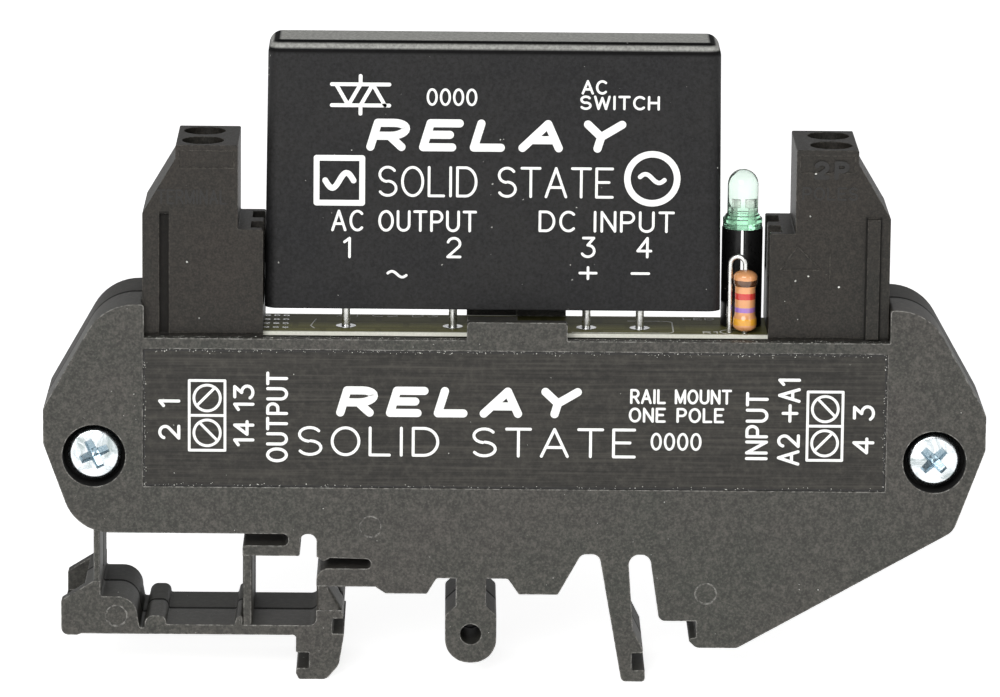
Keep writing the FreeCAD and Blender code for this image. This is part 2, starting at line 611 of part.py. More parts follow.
# --- terminal blocks: drawn for the left one -----------------------------------------------------------
def block_corners():
    outer = -BLOCK_OUTER
    step = BLOCK_STEP_LENGTH + BLOCK_INNER
    return [
        (outer, BOARD_TOP_Z), (outer, BOARD_TOP_Z + BLOCK_SLANT_LOW, 0.2),
        (outer + BLOCK_SLANT_RUN, BOARD_TOP_Z + BLOCK_SLANT_TOP, 0.2),
        (outer + BLOCK_SLANT_RUN, BLOCK_TOP, 0.15),
        (-step, BLOCK_TOP, 0.15), (-step, BOARD_TOP_Z + BLOCK_STEP_HEIGHT, 0.1),
        (-BLOCK_INNER, BOARD_TOP_Z + BLOCK_STEP_HEIGHT, 0.15), (-BLOCK_INNER, BOARD_TOP_Z),
    ]


def pole_cuts(y):
    """Screw hole, cage room, wire entry and test pocket of one pole."""
    cage_x = CAGE_HALF_LENGTH + CAVITY_GAP
    cage_y = CAGE_HALF + CAGE_SIDE_GAP
    room_top = CAGE_TOP_Z + CAGE_TRAVEL + CAVITY_GAP
    entry_low = BAR_Z - CAGE_MOUTH
    outer = -BLOCK_OUTER
    inner = -BLOCK_INNER
    step_z = BOARD_TOP_Z + BLOCK_STEP_HEIGHT
    return [
        post(SCREW_X, y, HEAD_LOW_Z - TIP_GAP, BLOCK_TOP, SCREW_HOLE_R),
        post(SCREW_X, y, room_top - 0.1, HEAD_LOW_Z, TERMINAL_SCREW_R + 0.15),
        box(SCREW_X - cage_x, SCREW_X + cage_x, y - cage_y, y + cage_y, CAGE_LOW_Z - CAVITY_GAP, room_top),
        box(outer, SCREW_X, y - ENTRY_HALF, y + ENTRY_HALF, entry_low, BAR_Z),
        box(outer, outer + FUNNEL_DEPTH, y - FUNNEL_HALF, y + FUNNEL_HALF, entry_low - FUNNEL_EXTRA,
            BAR_Z + FUNNEL_EXTRA),
        box(inner - POCKET_DEPTH, inner, y - POCKET_HALF, y + POCKET_HALF, step_z - POCKET_HEIGHT, step_z),
    ]


def terminal_body(bars):
    """Insulating body with a groove on its front face, a rib on its rear face and a shallow panel on both."""
    half = BLOCK_DEPTH / 2
    outer = -BLOCK_OUTER
    body = prism(block_corners(), -half, half)
    groove_x = outer + GROOVE_X
    slant_z = BOARD_TOP_Z + BLOCK_SLANT_LOW
    rib = box(groove_x - RIB_WIDTH / 2, groove_x + RIB_WIDTH / 2, half, half + RIB_HEIGHT,
              BOARD_TOP_Z, slant_z)
    skirt_out = half - SKIRT_SET_BACK
    skirt_in = BOARD_WIDTH / 2 + BOARD_GAP
    skirts = [box(outer, -BLOCK_INNER, -skirt_out, -skirt_in, BOARD_TOP_Z - SKIRT_DEPTH, BOARD_TOP_Z),
              box(outer, -BLOCK_INNER, skirt_in, skirt_out, BOARD_TOP_Z - SKIRT_DEPTH, BOARD_TOP_Z)]
    body = body.fuse([rib] + skirts)
    cuts = [box(groove_x, groove_x + GROOVE_WIDTH, -half, GROOVE_DEPTH - half, BOARD_TOP_Z, slant_z)]
    band_low_x = outer + BLOCK_SLANT_RUN + BAND_MARGIN
    band_high_x = -BLOCK_INNER - BLOCK_STEP_LENGTH - BAND_MARGIN
    for y_low, y_high in ((-half, BAND_DEPTH - half), (half - BAND_DEPTH, half)):
        cuts.append(box(band_low_x, band_high_x, y_low, y_high,
                        BOARD_TOP_Z + BAND_LOW, BOARD_TOP_Z + BAND_TOP))
    for _, y in POLES:
        cuts.extend(pole_cuts(y))
    return body.cut(cuts + bars).removeSplitter()


def contact_bar(y):
    """Fixed bar over the wire, with a leg down to its solder pin."""
    outer = -BLOCK_OUTER
    leg = outer + BAR_LEG_X
    bar = box(outer + BAR_OUTER, leg + BAR_T, y - BAR_HALF, y + BAR_HALF, BAR_Z, BAR_Z + BAR_T)
    upright = box(leg, leg + BAR_T, y - BAR_HALF, y + BAR_HALF, BOARD_TOP_Z, BAR_Z)
    pin = box(leg, leg + BAR_T, y - BAR_PIN_HALF, y + BAR_PIN_HALF, LEAD_END_Z, BOARD_TOP_Z)
    return bar.fuse([upright, pin]).removeSplitter()


def terminal_screw(y):
    """Slotted screw that turns in place, its tip on the contact bar."""
    head = post(SCREW_X, y, HEAD_LOW_Z, HEAD_TOP_Z, TERMINAL_HEAD_R)
    rim = [edge for edge in head.Edges if edge.BoundBox.ZMin > HEAD_TOP_Z - 0.01]
    head = head.makeChamfer(0.2, rim)
    shank = post(SCREW_X, y, BAR_Z + BAR_T + TIP_GAP, HEAD_LOW_Z, TERMINAL_SCREW_R)
    slot = box(SCREW_X - TERMINAL_HEAD_R, SCREW_X + TERMINAL_HEAD_R, y - SLOT_WIDTH / 2, y + SLOT_WIDTH / 2,
               HEAD_TOP_Z - SLOT_DEPTH, HEAD_TOP_Z)
    slot.rotate(V(SCREW_X, y, 0), V(0, 0, 1), 35)
    return head.fuse(shank).cut(slot).removeSplitter()


def terminal_cage(y):
    """Square loop with a threaded collar: the bar passes through it and the wire lies on its floor."""
    x_low = SCREW_X - CAGE_HALF_LENGTH
    x_high = SCREW_X + CAGE_HALF_LENGTH
    side = CAGE_HALF - CAGE_WALL
    loop = box(x_low, x_high, y - CAGE_HALF, y + CAGE_HALF, CAGE_LOW_Z, CAGE_TOP_Z)
    upright = [edge for edge in loop.Edges if edge.Length > 0.99 * (CAGE_TOP_Z - CAGE_LOW_Z)]
    loop = loop.makeFillet(0.3, upright)
    window = box(x_low, x_high, y - side, y + side, CAGE_LOW_Z + CAGE_FLOOR_T, CAGE_COLLAR_Z)
    thread = post(SCREW_X, y, CAGE_COLLAR_Z, CAGE_TOP_Z, TERMINAL_SCREW_R + THREAD_GAP)
    return loop.cut([window, thread])


# --- indicator lamp and resistor -----------------------------------------------------------------------
def led_lead(side):
    """Square lead of the lamp, with its widened top inside the lens."""
    x = LED_AXIS_X + side * LED_LEAD_OFFSET
    seat = BOARD_TOP_Z + SPACER_HEIGHT
    lead = box(x - LED_LEAD_HALF, x + LED_LEAD_HALF, LED_Y - LED_LEAD_HALF, LED_Y + LED_LEAD_HALF,
               LEAD_END_Z, seat + LED_POST_HEIGHT)
    low = seat + LED_POST_HEIGHT
    reach = LED_CUP_R if side > 0 else LED_CUP_R - 0.35
    inner = LED_AXIS_X + side * 0.15
    outer = LED_AXIS_X + side * (reach + 0.15)
    anvil = box(min(inner, outer), max(inner, outer), LED_Y - 0.3, LED_Y + 0.3, low, low + LED_CUP_HEIGHT)
    return lead.fuse(anvil).removeSplitter()


def led_lens(leads):
    """Round-topped lens on a flange, moulded round the two leads."""
    seat = BOARD_TOP_Z + SPACER_HEIGHT
    top = BOARD_TOP_Z + LENS_TOP
    flange = post(LED_AXIS_X, LED_Y, seat, seat + FLANGE_T, FLANGE_R)
    barrel = post(LED_AXIS_X, LED_Y, seat + FLANGE_T, top - LENS_R, LENS_R)
    dome = Part.makeSphere(LENS_R, V(LED_AXIS_X, LED_Y, top - LENS_R))
    return flange.fuse([barrel, dome]).removeSplitter().cut(leads)


def led_spacer():
    """Tube that holds the lamp up, slit from front to rear above its foot."""
    top = BOARD_TOP_Z + SPACER_HEIGHT
    tube = post(LED_AXIS_X, LED_Y, BOARD_TOP_Z, top, SPACER_R)
    bore = post(LED_AXIS_X, LED_Y, BOARD_TOP_Z, top, SPACER_BORE_R)
    slot = box(LED_AXIS_X - SPACER_SLOT_HALF, LED_AXIS_X + SPACER_SLOT_HALF, LED_Y - SPACER_R,
               LED_Y + SPACER_R, BOARD_TOP_Z + SPACER_BASE, top)
    return tube.cut([bore, slot])


def resistor_body():
    """Coated body, thicker at both ends, as one turned shape."""
    low = BOARD_TOP_Z + RESISTOR_LIFT
    top = low + RESISTOR_LENGTH
    cap = RESISTOR_CAP
    profile = outline([
        (0, low), (RESISTOR_R, low, RESISTOR_ROUND), (RESISTOR_R, low + cap, 0.3),
        (RESISTOR_WAIST_R, low + cap + 0.35, 0.3), (RESISTOR_WAIST_R, top - cap - 0.35, 0.3),
        (RESISTOR_R, top - cap, 0.3), (RESISTOR_R, top, RESISTOR_ROUND), (0, top),
    ])
    body = Part.Face(profile).revolve(V(0, 0, 0), V(0, 0, 1), 360)
    body.translate(V(RESISTOR_AXIS_X, RESISTOR_Y, 0))
    return body


def resistor_bottom_lead():
    return post(RESISTOR_AXIS_X, RESISTOR_Y, LEAD_END_Z, BOARD_TOP_Z + RESISTOR_LIFT, LEAD_R)


def resistor_top_lead():
    """Lead out of the body's top, over a round bend and down beside the body to the board."""
    start = V(RESISTOR_AXIS_X, RESISTOR_Y, BOARD_TOP_Z + RESISTOR_LIFT + RESISTOR_LENGTH)
    crown = start + V(0, 0, HAIRPIN_RISE)
    across = V(-2 * HAIRPIN_R, HAIRPIN_BACK, 0)
    bend = Part.Arc(crown, crown + across * 0.5 + V(0, 0, across.Length / 2), crown + across).toShape()
    foot = crown + across
    down = Part.LineSegment(foot, V(foot.x, foot.y, LEAD_END_Z)).toShape()
    path = Part.Wire([Part.LineSegment(start, crown).toShape(), bend, down])
    section = Part.Wire([Part.makeCircle(LEAD_R, start)])
    return path.makePipeShell([section], True, False)


def hairpin_foot():
    return V(RESISTOR_AXIS_X - 2 * HAIRPIN_R, RESISTOR_Y + HAIRPIN_BACK, 0)


# --- board ---------------------------------------------------------------------------------------------
def lead_places():
    """Every lead through the board: x, y and the radius that goes round it."""
    places = [(x, PIN_Y, PIN_R) for x in relay_pin_places()]
    bar_x = BAR_LEG_X + BAR_T / 2 - BLOCK_OUTER
    bar_r = math.hypot(BAR_T / 2, BAR_PIN_HALF)
    for side in (1, -1):
        for _, y in POLES:
            places.append((side * bar_x, y, bar_r))
    for side in (-1, 1):
        places.append((LED_AXIS_X + side * LED_LEAD_OFFSET, LED_Y, LED_LEAD_HALF * math.sqrt(2)))
    places.append((RESISTOR_AXIS_X, RESISTOR_Y, LEAD_R))
    places.append((hairpin_foot().x, hairpin_foot().y, LEAD_R))
    return places


def circuit_board():
    half_x = CAVITY_END - BOARD_GAP
    board = box(-half_x, half_x, -BOARD_WIDTH / 2, BOARD_WIDTH / 2, BOARD_LOW_Z, BOARD_TOP_Z)
    holes = [post(x, y, BOARD_LOW_Z, BOARD_TOP_Z, radius + HOLE_GAP) for x, y, radius in lead_places()]
    return board.cut(holes)


def solder_joints(leads):
    """Solder in every hole, with a cone under the board."""
    joints = []
    for x, y, radius in lead_places():
        hole_r = radius + HOLE_GAP
        plug = post(x, y, BOARD_LOW_Z, BOARD_TOP_Z, hole_r)
        foot = V(x, y, BOARD_LOW_Z - SOLDER_HEIGHT)
        cone = Part.makeCone(radius, hole_r + SOLDER_R * 0.5, SOLDER_HEIGHT, foot)
        joints.append(plug.fuse(cone).cut(leads))
    return joints


# --- assembly ------------------------------------------------------------------------------------------
def build_housing():
    front = front_half()
    rear = rear_half()
    save("front_housing_half", front)
    save("rear_housing_half", rear)
    save("housing_screws", case_screw(-1, CROSS_TURN[0]), case_screw(1, CROSS_TURN[1]))
    save("front_label", label_plate())
    flexing = (("latch", front_latch()), ("outer_leaf", outer_leaf(front)), ("inner_leaf", inner_leaf()),
               ("stem", stem()))
    for name, piece in flexing:
        save("front_" + name, piece)
        save("rear_" + name, to_rear(piece))


def build_relay():
    pins = relay_pins()
    substrate = relay_substrate()
    save("relay_case", relay_case())
    save("relay_pins", *pins)
    save("relay_substrate", substrate)
    save("relay_thyristors", *relay_thyristors())
    save("relay_optocoupler", front_part(OPTO_X, OPTO_SIZE))
    save("relay_gate_parts", *[front_part(x, GATE_PART_SIZE) for x in GATE_PART_PLACES])
    save("relay_potting", relay_potting(pins + [substrate]))
    return pins


def build_terminals():
    """Both blocks. The right one is the left one turned half a turn, so its front pole was the rear one."""
    bars = [contact_bar(y) for _, y in POLES]
    body = terminal_body(bars)
    save("left_terminal_body", body)
    save("right_terminal_body", to_right(body))
    leads = []
    for name, y in POLES:
        kinds = (("screw", terminal_screw), ("cage", terminal_cage), ("contact_bar", contact_bar))
        for piece_name, piece in kinds:
            left = piece(y)
            right = to_right(piece(-y))
            save("left_" + name + "_" + piece_name, left)
            save("right_" + name + "_" + piece_name, right)
            if piece_name == "contact_bar":
                leads += [left, right]
    return leads


def build_lamp():
    anode = led_lead(-1)
    cathode = led_lead(1)
    save("led_anode_lead", anode)
    save("led_cathode_lead", cathode)
    save("led_lens", led_lens([anode, cathode]))
    save("led_spacer", led_spacer())
    return [anode, cathode]


def build_resistor():
    top_lead = resistor_top_lead()
    bottom_lead = resistor_bottom_lead()
    save("resistor_body", resistor_body())
    save("resistor_top_lead", top_lead)
    save("resistor_bottom_lead", bottom_lead)
    return [top_lead, bottom_lead]


def main():
    os.makedirs("parts", exist_ok=True)
    build_housing()
    leads = build_relay() + build_terminals() + build_lamp() + build_resistor()
    save("circuit_board", circuit_board())
    save("solder_joints", *solder_joints(leads))


main()
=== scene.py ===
"""Looks for a DIN-rail solid-state relay module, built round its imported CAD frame.

Sizes in the code are millimetres times MM; everything in the scene is in metres.
"""
import math

import bmesh
import bpy
import numpy as np
from bpy.props import FloatProperty, FloatVectorProperty, PointerProperty, StringProperty
from mathutils import Matrix, Vector


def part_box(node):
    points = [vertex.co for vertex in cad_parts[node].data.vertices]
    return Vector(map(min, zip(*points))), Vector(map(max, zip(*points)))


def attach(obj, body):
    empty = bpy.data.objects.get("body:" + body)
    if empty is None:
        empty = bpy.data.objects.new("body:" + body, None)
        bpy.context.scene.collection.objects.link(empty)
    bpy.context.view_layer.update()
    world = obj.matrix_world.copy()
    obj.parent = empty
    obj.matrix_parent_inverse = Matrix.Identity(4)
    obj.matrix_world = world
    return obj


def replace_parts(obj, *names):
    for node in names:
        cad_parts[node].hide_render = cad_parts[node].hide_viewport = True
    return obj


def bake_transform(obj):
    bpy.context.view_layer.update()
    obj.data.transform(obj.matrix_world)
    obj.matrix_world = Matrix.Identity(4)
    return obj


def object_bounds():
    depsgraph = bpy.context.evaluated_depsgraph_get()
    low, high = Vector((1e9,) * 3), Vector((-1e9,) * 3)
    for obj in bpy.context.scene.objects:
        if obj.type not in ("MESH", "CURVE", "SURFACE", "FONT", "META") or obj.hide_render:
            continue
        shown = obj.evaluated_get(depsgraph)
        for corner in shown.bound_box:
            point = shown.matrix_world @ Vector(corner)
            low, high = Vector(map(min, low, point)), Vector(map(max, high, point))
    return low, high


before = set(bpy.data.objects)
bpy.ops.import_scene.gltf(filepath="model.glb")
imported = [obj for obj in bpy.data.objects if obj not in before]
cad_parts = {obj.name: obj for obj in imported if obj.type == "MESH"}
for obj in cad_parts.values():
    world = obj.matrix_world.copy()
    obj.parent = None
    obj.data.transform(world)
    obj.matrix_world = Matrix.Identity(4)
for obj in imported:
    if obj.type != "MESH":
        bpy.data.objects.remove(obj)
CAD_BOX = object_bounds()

bl_info = {
    "name": "Rail relay module",
    "version": (1, 0, 0),
    "blender": (4, 5, 0),
    "location": "View3D > Sidebar > Relay",
    "description": "Surfaces, markings, finishes and studio for a DIN-rail solid-state relay module",
    "category": "Object",
}

MM = 0.001


# ---------------------------------------------------------------- settings

def colour_setting(label, about, value):
    """A colour the user can change."""
    return FloatVectorProperty(name=label, description=about, subtype="COLOR", size=3, min=0.0, max=1.0,
                               default=value)


def length_setting(label, about, value):
    """A length in metres the user can change."""
    return FloatProperty(name=label, description=about, unit="LENGTH", precision=6, min=0.0, default=value)


class RelayHousingSettings(bpy.types.PropertyGroup):
    """Clip-on housing and its label area."""
    plastic: colour_setting("Plastic", "Charcoal moulding of both housing halves", (0.047, 0.0435, 0.038))
    patch: colour_setting("Patches", "Second tone that the moulding drifts towards", (0.037, 0.039, 0.032))
    label: colour_setting("Label", "Brushed film of the label area", (0.027, 0.025, 0.021))
    edge_radius: length_setting("Edge radius", "Rounding that the edges appear to have", 0.22 * MM)
    grain_depth: length_setting("Grain depth", "Height of the moulded grain", 0.012 * MM)


class RelayMarkSettings(bpy.types.PropertyGroup):
    """Printed markings."""
    ink: colour_setting("Ink", "White marking ink", (0.86, 0.86, 0.84))
    thickness: length_setting("Thickness", "Height of the ink above the surface", 0.02 * MM)
    stroke: length_setting("Stroke", "Width of the thin letters' strokes", 0.27 * MM)
    wordmark: StringProperty(name="Word", description="Large slanted word on both faces", default="RELAY")
    line: StringProperty(name="Line", description="Wide line under the large word", default="SOLID STATE")


class RelayBlockSettings(bpy.types.PropertyGroup):
    """Relay block standing on the board."""
    plastic: colour_setting("Plastic", "Near-black grained case", (0.0125, 0.0125, 0.0130))
    patch: colour_setting("Patches", "Second tone of the case", (0.018, 0.0175, 0.017))
    edge_radius: length_setting("Edge radius", "Rounding that the edges appear to have", 0.2 * MM)


class RelayTerminalSettings(bpy.types.PropertyGroup):
    """Screw terminal blocks."""
    plastic: colour_setting("Plastic", "Brownish black moulding", (0.023, 0.0195, 0.016))
    patch: colour_setting("Patches", "Second tone of the moulding", (0.017, 0.0165, 0.0135))
    edge_radius: length_setting("Edge radius", "Rounding that the edges appear to have", 0.15 * MM)
    relief: length_setting("Relief", "Height of the moulded lettering", 0.045 * MM)


class RelayBoardSettings(bpy.types.PropertyGroup):
    """Circuit board."""
    mask: colour_setting("Mask", "Olive solder mask", (0.185, 0.178, 0.062))
    cut_edge: colour_setting("Cut edge", "Pale glass laminate on the cut edge", (0.98, 0.98, 0.86))
    print_ink: colour_setting("Printing", "White board printing", (0.80, 0.80, 0.74))


class RelayLampSettings(bpy.types.PropertyGroup):
    """Indicator lamp and resistor."""
    lens: colour_setting("Lens", "Mint green epoxy", (0.84, 0.99, 0.89))
    coat: colour_setting("Resistor coat", "Tan lacquer", (0.78, 0.36, 0.15))


class RelayStageSettings(bpy.types.PropertyGroup):
    """Floor, light and camera."""
    floor: colour_setting("Floor", "Pale floor", (0.90, 0.90, 0.90))
    floor_size: length_setting("Floor size", "Side of the square floor", 6.0)


# ---------------------------------------------------------------- mesh helpers

def surface(grids, name):
    """One mesh from grids of points (rows, columns, 3), each with whether its rows and its columns close.

    Every cell between neighbouring rows and columns becomes a quad. Doubled points are merged and the
    faces are turned outwards, so a row or column shrunk to one point closes the shape there.
    """
    points, quads, start = [], [], 0
    for grid, close_rows, close_columns in grids:
        rows, columns = grid.shape[:2]
        index = start + np.arange(rows * columns).reshape(rows, columns)
        if close_rows:
            index = np.vstack([index, index[:1]])
        if close_columns:
            index = np.hstack([index, index[:, :1]])
        cells = np.stack([index[:-1, :-1], index[1:, :-1], index[1:, 1:], index[:-1, 1:]], axis=-1)
        points.append(grid.reshape(-1, 3))
        quads.append(cells.reshape(-1, 4))
        start += rows * columns
    mesh = bpy.data.meshes.new(name)
    mesh.from_pydata(np.vstack(points).tolist(), [], np.vstack(quads).tolist())
    tidy = bmesh.new()
    tidy.from_mesh(mesh)
    bmesh.ops.remove_doubles(tidy, verts=tidy.verts, dist=1e-8)
    bmesh.ops.dissolve_degenerate(tidy, edges=tidy.edges, dist=1e-9)
    bmesh.ops.recalc_face_normals(tidy, faces=tidy.faces)
    tidy.to_mesh(mesh)
    tidy.free()
    return mesh


def placed(mesh, name, material, smooth=True, crease=32):
    """An object for the mesh, smooth up to the crease angle in degrees, that names its material slot."""
    made = bpy.data.objects.new(name, mesh)
    bpy.context.scene.collection.objects.link(made)
    mesh.materials.append(material)
    mesh.polygons.foreach_set("use_smooth", [smooth] * len(mesh.polygons))
    if smooth:
        mesh.set_sharp_from_angle(angle=math.radians(crease))
    return made


def piece(grids, name, material, smooth=True):
    """An object made from grids of points that rides on the housing."""
    made = placed(surface(grids, name), name, material, smooth)
    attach(made, "housing")
    return made


def paint(material, *nodes):
    """Puts a material in every slot of the given CAD nodes."""
    for name in nodes:
        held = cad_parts[name]
        if not held.material_slots:
            held.data.materials.append(material)
        for slot in held.material_slots:
            slot.material = material


def arc(x, y, radius_x, radius_y, start, end, steps=14):
    """Points of an ellipse's arc: the centre plus (radius_x cos a, radius_y sin a), a in degrees."""
    turn = np.radians(np.linspace(start, end, steps))
    return np.stack([x + radius_x * np.cos(turn), y + radius_y * np.sin(turn)], axis=1)


def line(*points):
    """A straight run through the given points."""
    return np.array(points, float)


def bar(x0, y0, x1, y1):
    """A straight run between two points."""
    return line((x0, y0), (x1, y1))


def stroke(path, half, height):
    """A raised stroke along a flat path, with round ends; and whether it closes on itself.

    Across the path the section is a low box of the full width. Beyond each end of an open path it goes on
    straight, and at a distance d past the end the half width is the root of (half squared minus d squared).
    """
    closed = np.linalg.norm(path[0] - path[-1]) < 0.2 * half
    if closed:
        centre = path[:-1]
        width = np.full(len(centre), half)
        along = np.roll(centre, -1, axis=0) - np.roll(centre, 1, axis=0)
    else:
        turn = np.radians(np.linspace(0.0, 90.0, 6))
        first, last = path[0] - path[1], path[-1] - path[-2]
        first, last = first / np.linalg.norm(first), last / np.linalg.norm(last)
        lead_in = path[0] + np.outer(half * np.cos(turn), first)
        lead_out = path[-1] + np.outer(half * np.cos(turn[::-1]), last)
        centre = np.vstack([lead_in[:-1], path, lead_out[1:]])
        width = np.concatenate([half * np.sin(turn)[:-1], np.full(len(path), half),
                                half * np.sin(turn[::-1])[1:]])
        along = np.gradient(centre, axis=0)
    along /= np.maximum(np.linalg.norm(along, axis=1, keepdims=True), 1e-12)
    across = np.stack([-along[:, 1], along[:, 0]], axis=1) * width[:, None]
    flat = np.stack([centre - across, centre - across, centre + across, centre + across], axis=1)
    rise = np.broadcast_to(np.array([-height, height, height, -height]), flat.shape[:2])
    return np.dstack([flat, rise]), closed


# Strokes of each character in a box one unit high: its width, then its strokes.
LETTERS = {
    " ": (0.35, []),
    "0": (0.6, [arc(0.3, 0.5, 0.3, 0.5, 90, 450, 28)]),
    "1": (0.26, [bar(0.26, 0, 0.26, 1), bar(0.26, 1, 0, 0.8)]),
    "2": (0.6, [np.vstack([arc(0.3, 0.71, 0.29, 0.29, 165, -38), line((0, 0))]), bar(0, 0, 0.6, 0)]),
    "3": (0.6, [bar(0.06, 1, 0.56, 1), bar(0.56, 1, 0.27, 0.62), arc(0.28, 0.31, 0.31, 0.31, 90, -150)]),
    "4": (0.66, [bar(0.48, 0, 0.48, 1), bar(0.48, 1, 0, 0.32), bar(0, 0.32, 0.66, 0.32)]),
    "A": (0.7, [bar(0, 0, 0.35, 1), bar(0.35, 1, 0.7, 0), bar(0.12, 0.33, 0.58, 0.33)]),
    "C": (0.66, [arc(0.38, 0.5, 0.37, 0.5, 48, 312, 22)]),
    "D": (0.66, [bar(0, 0, 0, 1), bar(0, 1, 0.3, 1), bar(0, 0, 0.3, 0),
                 arc(0.28, 0.5, 0.38, 0.5, 90, -90, 20)]),
    "E": (0.56, [bar(0, 0, 0, 1), bar(0, 1, 0.56, 1), bar(0, 0.52, 0.44, 0.52), bar(0, 0, 0.56, 0)]),
    "H": (0.62, [bar(0, 0, 0, 1), bar(0.62, 0, 0.62, 1), bar(0, 0.52, 0.62, 0.52)]),
    "I": (0.04, [bar(0.02, 0, 0.02, 1)]),
    "L": (0.52, [bar(0, 1, 0, 0), bar(0, 0, 0.52, 0)]),
    "M": (0.74, [bar(0, 0, 0, 1), bar(0, 1, 0.37, 0.06), bar(0.37, 0.06, 0.74, 1), bar(0.74, 1, 0.74, 0)]),
    "N": (0.62, [bar(0, 0, 0, 1), bar(0, 1, 0.62, 0), bar(0.62, 0, 0.62, 1)]),
    "O": (0.72, [arc(0.36, 0.5, 0.36, 0.5, 90, 450, 30)]),
    "P": (0.58, [bar(0, 0, 0, 1), bar(0, 1, 0.32, 1), bar(0, 0.46, 0.32, 0.46),
                 arc(0.31, 0.73, 0.27, 0.27, 90, -90)]),
    "R": (0.6, [bar(0, 0, 0, 1), bar(0, 1, 0.32, 1), bar(0, 0.46, 0.32, 0.46),
                arc(0.31, 0.73, 0.27, 0.27, 90, -90), bar(0.3, 0.46, 0.6, 0)]),
    "S": (0.6, [arc(0.3, 0.745, 0.28, 0.255, 32, 262), arc(0.3, 0.255, 0.3, 0.255, 86, -150)]),
    "T": (0.64, [bar(0.32, 0, 0.32, 1), bar(0, 1, 0.64, 1)]),
    "U": (0.62, [bar(0, 1, 0, 0.31), arc(0.31, 0.31, 0.31, 0.31, 180, 360), bar(0.62, 0.31, 0.62, 1)]),
    "W": (0.92, [bar(0, 1, 0.22, 0), bar(0.22, 0, 0.46, 0.9), bar(0.46, 0.9, 0.7, 0), bar(0.7, 0, 0.92, 1)]),
    "Y": (0.66, [bar(0, 1, 0.33, 0.48), bar(0.66, 1, 0.33, 0.48), bar(0.33, 0.48, 0.33, 0)]),
    "+": (0.7, [bar(0.35, 0.1, 0.35, 0.8), bar(0, 0.45, 0.7, 0.45)]),
    "-": (0.8, [bar(0, 0.45, 0.8, 0.45)]),
    "~": (1.00, [np.stack([np.linspace(0, 1, 20), 0.45 + 0.16 * np.sin(np.linspace(0.35, 5.93, 20))],
                          axis=1)]),
}


def lettering(text, middle, span, height, gap=0.30, slant=0.0, turned=False):
    """Stroke paths of a line of text, in metres about its middle (across, up).

    The characters stand side by side with equal gaps, and the whole line is stretched along its length
    to the given span. Slant moves each point along by its height above the middle times the slant. A turned
    line is rotated a quarter turn, so that it reads upwards.
    """
    widths = np.array([LETTERS[letter][0] for letter in text])
    starts = np.concatenate([[0.0], np.cumsum(widths + gap)[:-1]])
    full = widths.sum() + gap * (len(text) - 1)
    stretch = span / full if full > 0.1 else height
    paths = []
    for letter, start in zip(text, starts):
        for path in LETTERS[letter][1]:
            up = (path[:, 1] - 0.5) * height
            along = (path[:, 0] + start - full / 2) * stretch + slant * up
            flat = np.stack([-up, along] if turned else [along, up], axis=1)
            paths.append(flat + np.array(middle))
    return paths


def of_width(paths, width):
    """Pairs every path with a stroke width."""
    return [(path, width) for path in paths]


def marks(name, strokes, height, lay, material):
    """Every stroke, a path and its width, raised; lay turns (across, up, rise) into points in space.

    Of seven strokes in a row each is 6 percent higher than the one before, so that crossing strokes never
    share a face.
    """
    grids = []
    for count, (path, width) in enumerate(strokes):
        grid, closed = stroke(path, width / 2, height * (1 + 0.06 * (count % 7)))
        grids.append((lay(grid), closed, True))
    piece(grids, name, material, smooth=False)


def crumbs(name, places, radii, material, seed):
    """Grains of dust: at each place a low-sided ball, stretched at random in each direction by 0.5 to 1.3."""
    rng = np.random.default_rng(seed)
    tilt = np.linspace(-np.pi / 2, np.pi / 2, 5)[:, None]
    turn = np.linspace(0, 2 * np.pi, 6, endpoint=False)[None, :]
    ball = np.stack([np.cos(tilt) * np.cos(turn), np.cos(tilt) * np.sin(turn), np.sin(tilt) + 0 * turn],
                    axis=-1)
    grids = [(place + ball * radius * rng.uniform(0.5, 1.3, 3), False, True) for place,
             radius in zip(places, radii)]
    piece(grids, name, material)


def front_face(y):
    """A lay for marks on a face that looks towards -Y."""
    return lambda grid: np.stack([grid[..., 0], y - grid[..., 2], grid[..., 1]], axis=-1)


def top_face(z):
    """A lay for marks on a face that looks up, drawn as (X, Y)."""
    return lambda grid: np.stack([grid[..., 0], grid[..., 1], z + grid[..., 2]], axis=-1)


def turned_profile(profile, x, y, sides):
    """A surface of revolution about the vertical axis through (x, y): the profile is radius and height."""
    turn = np.linspace(0.0, 2 * np.pi, sides, endpoint=False)
    radius, z = profile[:, :1], profile[:, 1:]
    flat = np.ones((1, sides))
    return np.stack([x + radius * np.cos(turn), y + radius * np.sin(turn), z * flat], axis=-1)


def plated_ring(x, y, z, section, sides):
    """A closed ring of plating that lies at height z: its section is radius and rise, in millimetres."""
    return turned_profile(np.array(section) * MM + (0.0, z), x * MM, y * MM, sides), True, True


# ---------------------------------------------------------------- shader helpers

def node(tree, kind, inputs=None, **settings):
    """Adds a shader node, sets its settings, and links or sets its inputs."""
    made = tree.nodes.new("ShaderNode" + kind)
    for name, value in settings.items():
        setattr(made, name, value)
    for name, value in (inputs or {}).items():
        if isinstance(value, bpy.types.NodeSocket):
            tree.links.new(value, made.inputs[name])
        else:
            made.inputs[name].default_value = value
    return made


def maths(tree, operation, first, second=0.0, third=0.0):
    """One Math node's output."""
    return node(tree, "Math", {0: first, 1: second, 2: third}, operation=operation).outputs[0]


def spread(tree, value, low, high, to_low=0.0, to_high=1.0):
    """A Map Range node's output, clamped."""
    return node(tree, "MapRange", {0: value, 1: low, 2: high, 3: to_low, 4: to_high}).outputs[0]


def blend_colours(tree, factor, first, second):
    """A Mix node's colour output."""
    made = node(tree, "Mix", {0: factor, 6: first, 7: second}, data_type="RGBA")
    return made.outputs[2]


def four(colour):
    """A colour with alpha."""
    return (*colour, 1.0)


